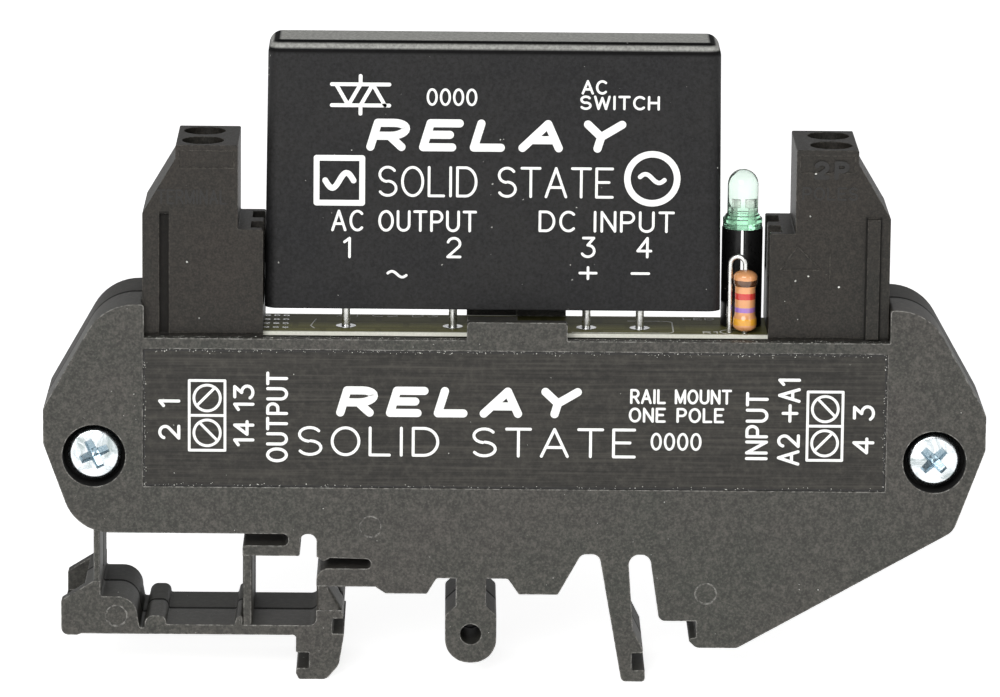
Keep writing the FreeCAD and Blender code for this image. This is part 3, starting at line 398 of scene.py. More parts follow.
def object_space(tree, shift=(0.0, 0.0, 0.0), turn=(0.0, 0.0, 0.0)):
    """Object coordinates through a Mapping node."""
    place = node(tree, "TexCoord").outputs["Object"]
    return node(tree, "Mapping", {"Vector": place, "Location": shift, "Rotation": turn}).outputs[0]


def axes_of(tree):
    """The X, Y and Z outputs of the object coordinates."""
    return node(tree, "SeparateXYZ", {0: object_space(tree)}).outputs


def product(tree, *factors):
    """The factors multiplied together."""
    made = factors[0]
    for factor in factors[1:]:
        made = maths(tree, "MULTIPLY", made, factor)
    return made


def scaled(colour, share):
    """A colour with every channel multiplied by a share, with alpha."""
    return four([share * channel for channel in colour])


def dress(tree, shader, base, rough, height, strength, distance, normal=None):
    """Feeds the base colour, the roughness and a bumped normal into the surface shader."""
    bump = {"Height": height, "Strength": strength, "Distance": distance}
    if normal:
        bump["Normal"] = normal
    bumped = node(tree, "Bump", bump).outputs[0]
    for socket, value in (("Base Color", base), ("Roughness", rough), ("Normal", bumped)):
        tree.links.new(value, shader.inputs[socket])


def start_group(name, inputs, outputs):
    """A new shader group with named inputs and outputs."""
    group = bpy.data.node_groups.new(name, "ShaderNodeTree")
    for label, value in inputs.items():
        group.interface.new_socket(label, in_out="INPUT", socket_type="NodeSocketFloat").default_value = value
    for label, kind in outputs.items():
        group.interface.new_socket(label, in_out="OUTPUT", socket_type=kind)
    return group, group.nodes.new("NodeGroupInput").outputs, group.nodes.new("NodeGroupOutput").inputs


def grain_group():
    """Moulded grain: fine lumps for the height, cloudy spots of middle size, slow patches for the tone."""
    group, given, out = start_group("Moulded grain", {"Grain Scale": 4500.0, "Patch Scale": 70.0},
                                    {"Height": "NodeSocketFloat", "Patches": "NodeSocketFloat",
                                     "Spots": "NodeSocketFloat"})
    place = object_space(group)
    fine = node(group, "TexNoise", {"Vector": place, "Scale": given["Grain Scale"], "Detail": 3.0,
                                    "Roughness": 0.6})
    slow = node(group, "TexNoise", {"Vector": place, "Scale": given["Patch Scale"], "Detail": 4.0,
                                    "Roughness": 0.65})
    middle = node(group, "TexNoise", {"Vector": place, "Scale": product(group, given["Patch Scale"], 22.0),
                                      "Detail": 5.0, "Roughness": 0.7})
    group.links.new(fine.outputs[0], out["Height"])
    group.links.new(spread(group, middle.outputs[0], 0.30, 0.70), out["Spots"])
    group.links.new(spread(group, slow.outputs[0], 0.35, 0.65), out["Patches"])
    return group


def dust_group():
    """Sparse pale specks: the nearest cell point within a random reach, kept only in a share of the cells."""
    group, given, out = start_group("Dust", {"Scale": 900.0, "Reach": 0.07, "Share": 0.3},
                                    {"Mask": "NodeSocketFloat"})
    place = object_space(group)
    wobble = node(group, "TexNoise", {"Vector": place, "Scale": 9000.0, "Detail": 1.0})
    sway = (0.16 * MM, 0.16 * MM, 0.16 * MM)
    shifted = node(group, "VectorMath", {0: wobble.outputs[1], 1: sway, 2: place}, operation="MULTIPLY_ADD")
    cells = node(group, "TexVoronoi", {"Vector": shifted.outputs[0], "Scale": given["Scale"]})
    parts = node(group, "SeparateColor", {0: cells.outputs["Color"]})
    crowd = node(group, "TexNoise", {"Vector": place, "Scale": 120.0, "Detail": 2.0})
    share = product(group, given["Share"], spread(group, crowd.outputs[0], 0.35, 0.7, 0.2, 2.2))
    kept = maths(group, "LESS_THAN", parts.outputs[0], share)
    reach = product(group, given["Reach"], spread(group, parts.outputs[1], 0.0, 1.0, 0.25, 1.0))
    close = maths(group, "LESS_THAN", cells.outputs["Distance"], reach)
    strength = product(group, kept, spread(group, parts.outputs[2], 0.0, 1.0, 0.25, 1.0))
    group.links.new(product(group, close, strength), out["Mask"])
    return group


def edge_group():
    """Wear and painted highlight on edges: where a rounded normal leaves the flat one, broken by noise; and
    that normal.
    """
    group, given, out = start_group("Worn and highlit edge", {"Radius": 0.15 * MM, "Break Scale": 2600.0},
                                    {"Mask": "NodeSocketFloat", "Normal": "NodeSocketVector"})
    rounded = node(group, "Bevel", {"Radius": given["Radius"]}, samples=6)
    flat = node(group, "NewGeometry")
    across = node(group, "VectorMath", {0: rounded.outputs[0], 1: flat.outputs["Normal"]},
                  operation="DOT_PRODUCT")
    turned = spread(group, across.outputs["Value"], 0.995, 0.86)
    broken = node(group, "TexNoise", {"Vector": object_space(group), "Scale": given["Break Scale"],
                                      "Detail": 3.0})
    group.links.new(product(group, turned, spread(group, broken.outputs[0], 0.42, 0.62, 0.12, 1.0)),
                    out["Mask"])
    group.links.new(rounded.outputs[0], out["Normal"])
    return group


def streak_group():
    """Brushed streaks: noise drawn out along X, finer across than along."""
    group, given, out = start_group("Streaks", {"Along": 60.0, "Across": 3200.0},
                                    {"Height": "NodeSocketFloat"})
    place = axes_of(group)
    stretch = (given["Along"], given["Across"], given["Across"])
    pulled = node(group, "CombineXYZ", {i: product(group, place[i], stretch[i]) for i in range(3)})
    drawn = node(group, "TexNoise", {"Vector": pulled.outputs[0], "Scale": 1.0, "Detail": 4.0,
                                     "Roughness": 0.7})
    group.links.new(drawn.outputs[0], out["Height"])
    return group


def parting_group():
    """Parting line of the two halves: a mask near Y zero for its painted shade and groove, and which side of
    it a point is on.
    """
    group, given, out = start_group("Parting line", {"Half Width": 0.34 * MM},
                                    {"Line": "NodeSocketFloat", "Rear": "NodeSocketFloat"})
    y = axes_of(group)[1]
    away = maths(group, "DIVIDE", maths(group, "ABSOLUTE", y), given["Half Width"])
    group.links.new(spread(group, away, 1.3, 0.6), out["Line"])
    group.links.new(maths(group, "GREATER_THAN", y, 0.0), out["Rear"])
    return group


GROUP_MAKERS = {"Moulded grain": grain_group, "Dust": dust_group, "Worn and highlit edge": edge_group,
                "Streaks": streak_group, "Parting line": parting_group}


def effect(tree, name, **inputs):
    """Places a shader group, made the first time it is asked for, and gives its outputs."""
    held = bpy.data.node_groups.get(name) or GROUP_MAKERS[name]()
    made = node(tree, "Group", node_tree=held)
    for label, value in inputs.items():
        made.inputs[label.replace("_", " ")].default_value = value
    return made.outputs


def new_material(name):
    """A material with a Principled BSDF: the material, its tree and the shader."""
    made = bpy.data.materials.new(name)
    made.use_nodes = True
    return made, made.node_tree, made.node_tree.nodes["Principled BSDF"]


def face_up(tree):
    """How far the surface faces upwards: the Z part of its normal."""
    facing = node(tree, "NewGeometry")
    return node(tree, "SeparateXYZ", {0: facing.outputs["Normal"]}).outputs[2]


DUST_COLOUR = (0.70, 0.70, 0.66, 1.0)


def moulded(name, colour, patch, roughness=0.5, grain=4500.0, depth=0.012 * MM, radius=0.14 * MM,
            edge=(0.20, 0.19, 0.18), edge_share=0.7, dust_scale=900.0, dust_reach=0.07, dust_share=0.28,
            streaks=False, patches=70.0, contrast=0.35, shine=0.3, shade=None, settled=0.0):
    """Moulded plastic: two drifting tones, cloudy spots, grain, rounded edges lit pale as wear and painted
    highlight, and dust specks.

    Shade, when given, builds a mask of places painted dark as shade. The last argument is how pale level tops
    and the middle of a rounding are painted; on the rounding this is a painted highlight band.
    """
    material, tree, shader = new_material(name)
    lumps = effect(tree, "Moulded grain", Grain_Scale=grain, Patch_Scale=patches)
    rim = effect(tree, "Worn and highlit edge", Radius=radius)
    dust = effect(tree, "Dust", Scale=dust_scale, Reach=dust_reach, Share=dust_share)
    base = blend_colours(tree, lumps["Patches"], four(colour), four(patch))
    height = effect(tree, "Streaks")[0] if streaks else lumps["Height"]
    pale, deep = scaled(colour, 2.1), scaled(colour, 0.35)
    base = blend_colours(tree, spread(tree, lumps["Spots"], 0.5, 1.0, 0.0, contrast), base, pale)
    base = blend_colours(tree, spread(tree, lumps["Spots"], 0.5, 0.0, 0.0, contrast), base, deep)
    base = blend_colours(tree, spread(tree, height, 0.5, 0.72, 0.0, 1.3 * contrast), base, pale)
    base = blend_colours(tree, spread(tree, height, 0.48, 0.28, 0.0, 1.3 * contrast), base, deep)
    # Rounded edges lightened towards the edge colour: partly wear, partly a painted highlight.
    base = blend_colours(tree, product(tree, rim["Mask"], edge_share), base, four(edge))
    raised = height
    coarse = 0.0
    # Painted shade: where the shade mask is on, the colour falls to 0.12 of itself and the surface is
    # rougher.
    if shade:
        dark, sunk = shade(tree)
        coarse = product(tree, dark, 0.35)
        base = blend_colours(tree, dark, base, scaled(colour, 0.12))
        raised = maths(tree, "SUBTRACT", height, product(tree, sunk, 4.0))
    # Painted highlight: level tops and the middle of a rounding, picked by the normal, are painted pale and
    # speckled.
    if settled:
        up = face_up(tree)
        level = product(tree, spread(tree, up, 0.40, 0.55), spread(tree, up, 0.86, 0.74, 0.0, 0.75))
        level = maths(tree, "MAXIMUM", level, spread(tree, up, 0.985, 0.999))
        grains = spread(tree, lumps["Spots"], 0.2, 0.8, 0.6, 1.0)
        base = blend_colours(tree, product(tree, level, grains, settled), base, (0.62, 0.62, 0.58, 1.0))
    base = blend_colours(tree, dust["Mask"], base, DUST_COLOUR)
    rough = maths(tree, "ADD", spread(tree, height, 0.3, 0.7, roughness - 0.09, roughness + 0.09),
                  maths(tree, "MULTIPLY_ADD", dust["Mask"], 0.3, coarse))
    dress(tree, shader, base, rough, raised, 0.7, depth, rim["Normal"])
    shader.inputs["Specular IOR Level"].default_value = shine
    return material


def housing_shade(tree):
    """Painted shade on the housing: in the screws' counterbores, along the parting line and, faintly, over
    the rear half.
    """
    low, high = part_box("housing_screws")
    radius = (high.z - low.z) / 2
    x, y, z = axes_of(tree)
    middle = (high.x - low.x) / 2 - radius
    along = maths(tree, "SUBTRACT", maths(tree, "ABSOLUTE", x), middle)
    above = maths(tree, "SUBTRACT", z, (low.z + high.z) / 2)
    away = node(tree, "CombineXYZ", {0: along, 1: above})
    distance = node(tree, "VectorMath", {0: away.outputs[0]}, operation="LENGTH").outputs["Value"]
    # Painted shade inside the counterbores round the screw heads.
    bore = product(tree, spread(tree, distance, radius + 0.56 * MM, radius + 0.50 * MM),
                   spread(tree, y, low.y - 0.80 * MM, low.y - 0.60 * MM),
                   maths(tree, "LESS_THAN", y, low.y + 3.0 * MM))
    parting = effect(tree, "Parting line")
    # Painted shade: the rear half faintly darker, and the parting line's groove dark.
    rear = product(tree, parting["Rear"], 0.25)
    dark = maths(tree, "MAXIMUM", maths(tree, "MAXIMUM", bore, rear), parting["Line"])
    return dark, parting["Line"]


def relay_shade(tree):
    """Painted shade: two dark bands on the relay block's top rounding, for the dark surroundings it reflects;
    moulded paints the band between them pale.
    """
    up = face_up(tree)
    upper = product(tree, spread(tree, up, 0.78, 0.88), spread(tree, up, 0.995, 0.97))
    lower = product(tree, spread(tree, up, 0.06, 0.20), spread(tree, up, 0.46, 0.34))
    return product(tree, maths(tree, "MAXIMUM", upper, lower), 0.9), 0.0


def terminal_shade(tree):
    """Painted shade in the corners beside the terminal blocks' ribs and in their grooves."""
    low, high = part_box("right_terminal_body")
    x, y, z = axes_of(tree)
    rib = high.x - 1.6 * MM
    lower_front = product(tree, maths(tree, "LESS_THAN", y, 0.0),
                          maths(tree, "LESS_THAN", z, low.z + 12.6 * MM))
    away = maths(tree, "ABSOLUTE", maths(tree, "SUBTRACT", x, rib))
    beside = product(tree, spread(tree, away, 0.56 * MM, 0.60 * MM), spread(tree, away, 0.84 * MM, 0.70 * MM),
                     lower_front, 0.8)
    along = maths(tree, "ADD", x, rib)
    groove = product(tree, spread(tree, along, -0.02 * MM, 0.0), spread(tree, along, 0.92 * MM, 0.90 * MM),
                     lower_front, 0.7)
    return maths(tree, "MAXIMUM", groove, beside), 0.0


PLATE_GRAIN = 0.004 * MM
PLATE_EDGE_RADIUS = 0.06 * MM


def plated(name, colour, tint, roughness=0.24, scratch=2200.0):
    """Plated metal: a slightly cloudy tint, fine scratches and soft edges."""
    material, tree, shader = new_material(name)
    lumps = effect(tree, "Moulded grain", Grain_Scale=scratch, Patch_Scale=450.0)
    rim = effect(tree, "Worn and highlit edge", Radius=PLATE_EDGE_RADIUS)
    base = blend_colours(tree, lumps["Patches"], four(colour), four(tint))
    rough = spread(tree, lumps["Height"], 0.3, 0.7, roughness - 0.08, roughness + 0.12)
    dress(tree, shader, base, rough, lumps["Height"], 0.5, PLATE_GRAIN, rim["Normal"])
    shader.inputs["Metallic"].default_value = 1.0
    return material


def ink(name, colour):
    """Marking ink: nearly white, thinner in fine spots."""
    material, tree, shader = new_material(name)
    lumps = effect(tree, "Moulded grain", Grain_Scale=3500.0, Patch_Scale=900.0)
    base = blend_colours(tree, spread(tree, lumps["Height"], 0.55, 0.8, 0.0, 0.35), four(colour),
                         scaled(colour, 0.55))
    rough = spread(tree, lumps["Height"], 0.3, 0.7, 0.45, 0.65)
    dress(tree, shader, base, rough, lumps["Height"], 0.3, 0.010 * MM)
    return material


def finish_named(name, maker, *args, **values):
    """A material by name, made the first time."""
    return bpy.data.materials.get(name) or maker(name, *args, **values)


def housing_plastic():
    """The housing's charcoal plastic."""
    chosen = bpy.context.scene.relay_housing
    # The pale edge colour here is wear and a painted highlight along the housing's edges.
    return finish_named("housing_plastic_skin", moulded, chosen.plastic, chosen.patch, roughness=0.50,
                        depth=chosen.grain_depth, radius=chosen.edge_radius, shade=housing_shade,
                        dust_share=0.8, contrast=0.58, shine=0.36, edge=(0.42, 0.41, 0.38), edge_share=0.9)


def lead_tin():
    """Tin on every lead."""
    return finish_named("tinned_lead_skin", plated, (0.80, 0.80, 0.78), (0.66, 0.66, 0.63), roughness=0.26)


def bright_zinc():
    """Zinc on the terminal screws."""
    return finish_named("zinc_screw_skin", plated, (0.86, 0.88, 0.91), (0.72, 0.76, 0.80), roughness=0.22)


def cross_head_zinc(name, face_y):
    """Zinc of the cross-head screws: bright, smeared grey in places, blue-grey tint with painted shade down
    in the recess.
    """
    material, tree, shader = new_material(name)
    lumps = effect(tree, "Moulded grain", Grain_Scale=2600.0, Patch_Scale=420.0)
    deep = spread(tree, axes_of(tree)[1], face_y + 0.04 * MM, face_y + 0.75 * MM)
    smear = node(tree, "TexNoise", {"Vector": object_space(tree, turn=(0.0, 0.4, 0.0)), "Scale": 330.0,
                                    "Detail": 5.0, "Roughness": 0.75, "Distortion": 1.2})
    base = blend_colours(tree, lumps["Patches"], (0.90, 0.93, 0.95, 1.0), (0.78, 0.83, 0.86, 1.0))
    base = blend_colours(tree, spread(tree, smear.outputs[0], 0.47, 0.63, 0.0, 0.9), base,
                         (0.30, 0.36, 0.36, 1.0))
    # Painted shade: the zinc turns dark blue-grey deeper in the cross recess.
    recess_tint_and_shade = blend_colours(tree, lumps["Spots"], (0.13, 0.21, 0.27, 1.0), (0.48, 0.60, 0.66, 1.0))
    base = blend_colours(tree, deep, base, recess_tint_and_shade)
    rough = spread(tree, lumps["Height"], 0.3, 0.7, 0.16, 0.34)
    dress(tree, shader, base, rough, lumps["Height"], 0.5, 0.012 * MM)
    shader.inputs["Metallic"].default_value = 1.0
    return material


# ---------------------------------------------------------------- housing

class RELAY_OT_housing(bpy.types.Operator):
    """Finish the two housing halves and the sprung latch"""
    bl_idname = "relay.housing"
    bl_label = "Housing"

    def execute(self, context):
        paint(housing_plastic(), "front_housing_half", "rear_housing_half", "front_latch", "rear_latch")
        chosen = context.scene.relay_housing
        film = finish_named("label_film_skin", moulded, chosen.label, [0.8 * c for c in chosen.label],
                            roughness=0.46, streaks=True, depth=0.008 * MM, radius=0.05 * MM, dust_share=0.3,
                            edge_share=0.5, contrast=0.7)
        paint(film, "front_label")
        return {"FINISHED"}


def flexure(node_name, right_of, sink):
    """A thin leaf between the housing and the latch, from root below its top down to its foot; on the real
    module it bends.

    Its level sections are rounded rectangles: a superellipse of power 8 about the middle, as wide as the
    distance from the leaf's left face to right_of(height), and they are stacked from sink inside the latch
    to sink inside the housing.
    """
    low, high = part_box(node_name)
    height = np.linspace(low.z - sink, high.z + sink, 44)
    left = np.full_like(height, low.x)
    right = right_of(height, low, high)
    turn = np.linspace(0, 2 * np.pi, 40, endpoint=False)
    shape = np.abs(np.cos(turn)) ** 8 + np.abs(np.sin(turn)) ** 8
    across = np.cos(turn) / shape ** 0.125
    deep = np.sin(turn) / shape ** 0.125
    middle, half = (left + right) / 2, (right - left) / 2
    mid_y, half_y = (low.y + high.y) / 2, (high.y - low.y) / 2 - 0.01 * MM
    x = middle[:, None] + half[:, None] * across
    y = np.broadcast_to(mid_y + half_y * deep, x.shape)
    z = np.broadcast_to(height[:, None], x.shape)
    body = np.stack([x, y, z], axis=-1)
    caps = [np.stack([middle[i] + 0 * turn, mid_y + 0 * turn, height[i] + 0 * turn],
                     axis=-1)[None] for i in (0, -1)]
    name = node_name + "_bend"
    mesh = surface([(np.concatenate([caps[0], body, caps[1]]), False, True)], name)
    made = placed(mesh, name, housing_plastic(), crease=50)
    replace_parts(made, node_name)
    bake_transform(made)


class RELAY_OT_flexures(bpy.types.Operator):
    """Build the thin leaves that join the latch to the housing; on the real module they bend as the latch is
    pulled
    """
    bl_idname = "relay.flexures"
    bl_label = "Latch leaves"

    def execute(self, context):
        def straight(height, low, high):
            return np.full_like(height, high.x)

        def flared(height, low, high):
            waist, neck = low.x + 1.22 * MM, high.z - 0.25 * MM
            return waist + (high.x - waist) * np.clip((neck - height) / (neck - low.z), 0, 1)

        for end in ("front", "rear"):
            flexure(end + "_outer_leaf", straight, 0.12 * MM)
            flexure(end + "_inner_leaf", straight, 0.1 * MM)
            flexure(end + "_stem", flared, 0.1 * MM)
        return {"FINISHED"}


def screw_head(x, z, face_y, turn, radius):
    """A pan head with a cross recess, seen from the front.

    On a polar grid of radius and angle the height is a flat top that falls off as a quarter circle near the
    rim, less the recess: four tapered wings, each a soft-edged strip that narrows and gets shallower
    outwards, and a cone in the middle.
    """
    across = radius * np.sqrt(np.linspace(0.0, 1.0, 110))[:, None]
    around = np.linspace(0, 2 * np.pi, 360, endpoint=False)[None, :]
    u, v = across * np.cos(around - turn), across * np.sin(around - turn)
    shoulder = 0.19 * radius
    fall = np.clip((across - (radius - shoulder)) / shoulder, 0, 1)
    height = -0.20 * radius * (1 - np.sqrt(1 - 0.96 * fall ** 2.4)) * np.ones_like(u)
    wing = np.zeros_like(u)
    for along, side in ((u, v), (v, u)):
        reach = np.abs(along)
        half = (0.43 - 0.10 * reach / (1.4 * MM)) * MM
        inside = np.clip((half - np.abs(side)) / (0.07 * MM) + 0.5, 0, 1)
        inside = inside * np.clip((1.38 * MM - reach) / (0.10 * MM) + 0.5, 0, 1)
        deep = (1.05 - 0.42 * reach / (1.4 * MM)) * MM
        wing = np.maximum(wing, inside * deep)
    diagonal = (np.abs(u) + np.abs(v)) / math.sqrt(2)
    cone = np.clip(1.0 - diagonal / (0.66 * MM), 0, 1) ** 0.6 * 1.0 * MM
    height = height - np.maximum(wing, cone)
    return np.stack([x + across * np.cos(around), face_y - height, z + across * np.sin(around)], axis=-1)


def turned_about_y(profile, x, z, sides):
    """A surface of revolution about an axis along Y through (x, z): the profile is radius and Y."""
    turn = np.linspace(0, 2 * np.pi, sides, endpoint=False)
    radius, y = profile[:, :1], profile[:, 1:]
    return np.stack([x + radius * np.cos(turn), y * np.ones((1, sides)), z + radius * np.sin(turn)], axis=-1)


class RELAY_OT_housing_screws(bpy.types.Operator):
    """Build the two zinc screws that hold the housing together"""
    bl_idname = "relay.housing_screws"
    bl_label = "Housing screws"

    def execute(self, context):
        low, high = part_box("housing_screws")
        radius = (high.z - low.z) / 2
        middle_z = (high.z + low.z) / 2
        grids = []
        under_head, shank, tip = low.y + 1.7 * MM, 1.25 * MM, 0.85 * MM
        skirt = np.array([(radius, under_head), (shank, under_head), (shank, high.y - 0.4 * MM),
                          (tip, high.y), (0.0, high.y)])
        for x, turn in ((low.x + radius, math.radians(25)), (high.x - radius, math.radians(45))):
            head = screw_head(x, middle_z, low.y, turn, radius)
            shaft = turned_about_y(skirt, x, middle_z, head.shape[1])
            grids.append((np.concatenate([head, shaft]), False, True))
        zinc = finish_named("cross_head_skin", cross_head_zinc, low.y)
        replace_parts(piece(grids, "housing_screw_pair", zinc), "housing_screws")
        return {"FINISHED"}


# ---------------------------------------------------------------- markings

def terminal_symbol(x, z, side, first_turn):
    """Two stacked squares, each with a slotted circle, the slots leaning opposite ways."""
    half = side / 2
    paths = [line((x - half, z - side), (x - half, z + side)),
             line((x + half, z - side), (x + half, z + side))]
    paths += [line((x - half, z + level), (x + half, z + level)) for level in (-side, 0.0, side)]
    radius = 0.37 * side
    for level, lean in ((half, first_turn), (-half, -first_turn)):
        paths.append(arc(x, z + level, radius, radius, 0, 360, 40))
        way = np.array([math.cos(lean), math.sin(lean)])
        across = np.array([-way[1], way[0]]) * 0.14 * radius
        paths.append(np.array([(x, z + level) - 0.9 * radius * way,
                               (x, z + level) + 0.9 * radius * way]) + across)
    return paths


class RELAY_OT_dust(bpy.types.Operator):
    """Scatter grains of dust inside the label's border and along the front rim's top"""
    bl_idname = "relay.dust"
    bl_label = "Dust grains"

    def execute(self, context):
        rng = np.random.default_rng(11)
        low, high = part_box("front_label")
        count = 420
        part, near = rng.uniform(0, 1, count), np.abs(rng.normal(0, 0.15 * MM, count))
        side = rng.choice(4, count, p=[0.50, 0.26, 0.12, 0.12])
        across = np.select([side < 2, side == 2], [low.x + part * (high.x - low.x), low.x + near],
                           high.x - near)
        up = np.select([side == 0, side == 1], [high.z - near, low.z + near], low.z + part * (high.z - low.z))
        on_label = np.stack([across, np.full(count, low.y), up], axis=1)
        rim_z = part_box("circuit_board")[1].z - 0.25 * MM
        rim_x = rng.uniform(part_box("left_terminal_body")[0].x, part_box("right_terminal_body")[1].x, count)
        rim_x = rim_x[np.abs(rim_x) > 5.0 * MM]
        rim_y = rng.uniform(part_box("front_housing_half")[0].y + 0.1 * MM, -5.3 * MM, len(rim_x))
        places = np.vstack([on_label, np.stack([rim_x, rim_y, np.full(len(rim_x), rim_z)], axis=1)])
        radii = rng.uniform(0.022, 0.05, len(places)) * MM
        grey = finish_named("dust_grain_skin", ink, (0.72, 0.72, 0.66))
        crumbs("dust_grains", places, radii, grey, 5)
        return {"FINISHED"}


# Printed text, X and height of its middle, span, letter height (all mm), and whether it is turned upwards.
LABEL_ROWS = (
    ("1", -32.7, 1.40, 0.45, 1.80, True), ("2", -32.7, -1.40, 1.15, 1.80, True),
    ("13", -25.65, 2.00, 2.30, 1.72, True), ("14", -25.65, -1.45, 2.25, 1.72, True),
    ("OUTPUT", -22.5, 0.15, 8.50, 1.78, True), ("INPUT", 22.93, -0.38, 6.35, 1.86, True),
    ("A1", 25.95, 3.10, 2.05, 1.86, True), ("+", 25.95, 0.90, 1.50, 1.86, True),
    ("A2", 25.95, -2.65, 2.75, 1.86, True),
    ("3", 33.05, 1.00, 1.25, 1.80, True), ("4", 33.05, -2.20, 1.35, 1.80, True),
    ("RAIL MOUNT", 15.70, 2.42, 9.40, 1.22, False), ("ONE POLE", 15.30, 0.62, 8.80, 1.22, False),
    ("0000", 15.30, -1.95, 4.60, 1.50, False),
)
# The same for the relay block, where nothing is turned.
BLOCK_ROWS = (
    ("1", -16.0, 5.90, 0.48, 1.80), ("2", -5.9, 5.98, 1.18, 1.80), ("3", 6.8, 6.10, 1.18, 1.80),
    ("4", 12.1, 6.12, 1.25, 1.80), ("~", -11.26, 3.45, 1.75, 1.75), ("+", 6.8, 3.70, 1.55, 1.55),
    ("-", 11.75, 3.70, 1.60, 1.60),
    ("AC OUTPUT", -10.63, 8.50, 13.5, 1.82), ("DC INPUT", 8.50, 8.58, 12.6, 1.82),
    ("0000", -6.2, 20.40, 4.55, 1.45), ("AC", 7.2, 21.45, 2.2, 1.15), ("SWITCH", 9.6, 19.98, 7.3, 1.15),
)


def white_ink():
    """The white marking ink."""
    return finish_named("marking_ink", ink, bpy.context.scene.relay_marks.ink)


def painted_shadow_lines():
    """Painted shadow: nearly black lines beside moulded edges, in the ink finish."""
    return finish_named("shadow_ink", ink, (0.010, 0.009, 0.008))


def rectangle(left, bottom, right, top):
    """The four sides of an upright rectangle."""
    corners = [(left, bottom), (right, bottom), (right, top), (left, top)]
    return [line(corners[i], corners[(i + 1) % 4]) for i in range(4)]


class RELAY_OT_label_marks(bpy.types.Operator):
    """Print the label area: terminal numbers, symbols and generic words"""
    bl_idname = "relay.label_marks"
    bl_label = "Label markings"

    def execute(self, context):
        chosen = context.scene.relay_marks
        low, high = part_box("front_label")
        middle = (low.z + high.z) / 2
        thin = chosen.stroke
        strokes = []
        for text, x, z, span, height, turned in LABEL_ROWS:
            paths = lettering(text, (x * MM, middle + z * MM), span * MM, height * MM, turned=turned)
            strokes += of_width(paths, thin * (0.85 if height < 1.6 else 1.08))
        for x, z, side, lean in ((-29.12, 0.25, 3.38, 0.80), (29.38, -0.32, 3.32, -0.80)):
            strokes += of_width(terminal_symbol(x * MM, middle + z * MM, side * MM, lean), thin * 0.95)
        paths = lettering(chosen.line, (-4.55 * MM, middle - 2.15 * MM), 31.8 * MM, 2.62 * MM)
        strokes += of_width(paths, thin * 1.02)
        paths = lettering(chosen.wordmark, (-5.3 * MM, middle + 1.72 * MM), 21.8 * MM, 2.15 * MM, 0.42, 0.30)
        strokes += of_width(paths, thin * 2.9)
        edge = 0.09 * MM
        border = rectangle(low.x + edge, low.z + edge, high.x - edge, high.z - edge)
        face = front_face(low.y)
        # Painted shadow: a dark line just inside the label's border.
        marks("label_border_shadow", of_width(border, 0.15 * MM), 0.3 * chosen.thickness, face, painted_shadow_lines())
        marks("label_marks", strokes, chosen.thickness, face, white_ink())
        return {"FINISHED"}


class RELAY_OT_block_marks(bpy.types.Operator):
    """Print the relay block: pin numbers, polarity and generic words"""
    bl_idname = "relay.block_marks"
    bl_label = "Relay block markings"

    def execute(self, context):
        chosen = context.scene.relay_marks
        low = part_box("relay_case")[0]
        base = low.z
        thin = chosen.stroke * 0.92
        strokes = []
        for text, x, z, span, height in BLOCK_ROWS:
            paths = lettering(text, (x * MM, base + z * MM), span * MM, height * MM)
            strokes += of_width(paths, thin * (0.9 if height < 1.5 else 1.0))
        paths = lettering(chosen.line, (-2.0 * MM, base + 12.30 * MM), 22.0 * MM, 2.72 * MM, 0.22)
        strokes += of_width(paths, thin * 1.02)
        paths = lettering(chosen.wordmark, (-2.0 * MM, base + 16.75 * MM), 23.0 * MM, 2.30 * MM, 0.42, 0.30)
        strokes += of_width(paths, thin * 3.1)
        strokes += of_width(switch_symbol(-14.8 * MM, base + 20.55 * MM), 0.36 * MM)
        strokes += of_width(wave_box(-16.75 * MM, base + 12.35 * MM, 4.3 * MM), 0.55 * MM)
        strokes.append((arc(12.75 * MM, base + 12.75 * MM, 2.35 * MM, 2.35 * MM, 0, 360, 60), 0.62 * MM))
        strokes += of_width(lettering("~", (12.75 * MM, base + 12.9 * MM), 2.3 * MM, 2.6 * MM), 0.42 * MM)
        face = front_face(low.y + 0.02 * MM)
        marks("relay_block_marks", strokes, chosen.thickness, face, white_ink())
        return {"FINISHED"}


def switch_symbol(x, z):
    """A two-way thyristor: two opposed triangles between two bars, with a lead at the top and the bottom."""
    paths = [line((x - 2.7 * MM, z + level * MM), (x + 2.7 * MM, z + level * MM)) for level in (-1.0, 1.0)]
    paths += [line((x, z + 1.0 * MM), (x, z + 1.8 * MM)), line((x, z - 1.8 * MM), (x, z - 1.0 * MM))]
    for side in (-1, 1):
        tip, root = z + side * 1.0 * MM, z - side * 1.0 * MM
        middle = x + side * 1.15 * MM
        paths += [line((middle + reach * MM, root), (middle, tip)) for reach in (-1.15, 1.15)]
    return paths


def wave_box(x, z, side):
    """A square with one wave in it."""
    half = side / 2
    paths = rectangle(x - half, z - half, x + half, z + half)
    along = np.linspace(-0.62 * half, 0.62 * half, 24)
    paths.append(np.stack([x + along, z + 0.34 * half * np.sin(along / (0.62 * half) * np.pi)], axis=1))
    return paths


# ---------------------------------------------------------------- relay block, terminals, board, lamp

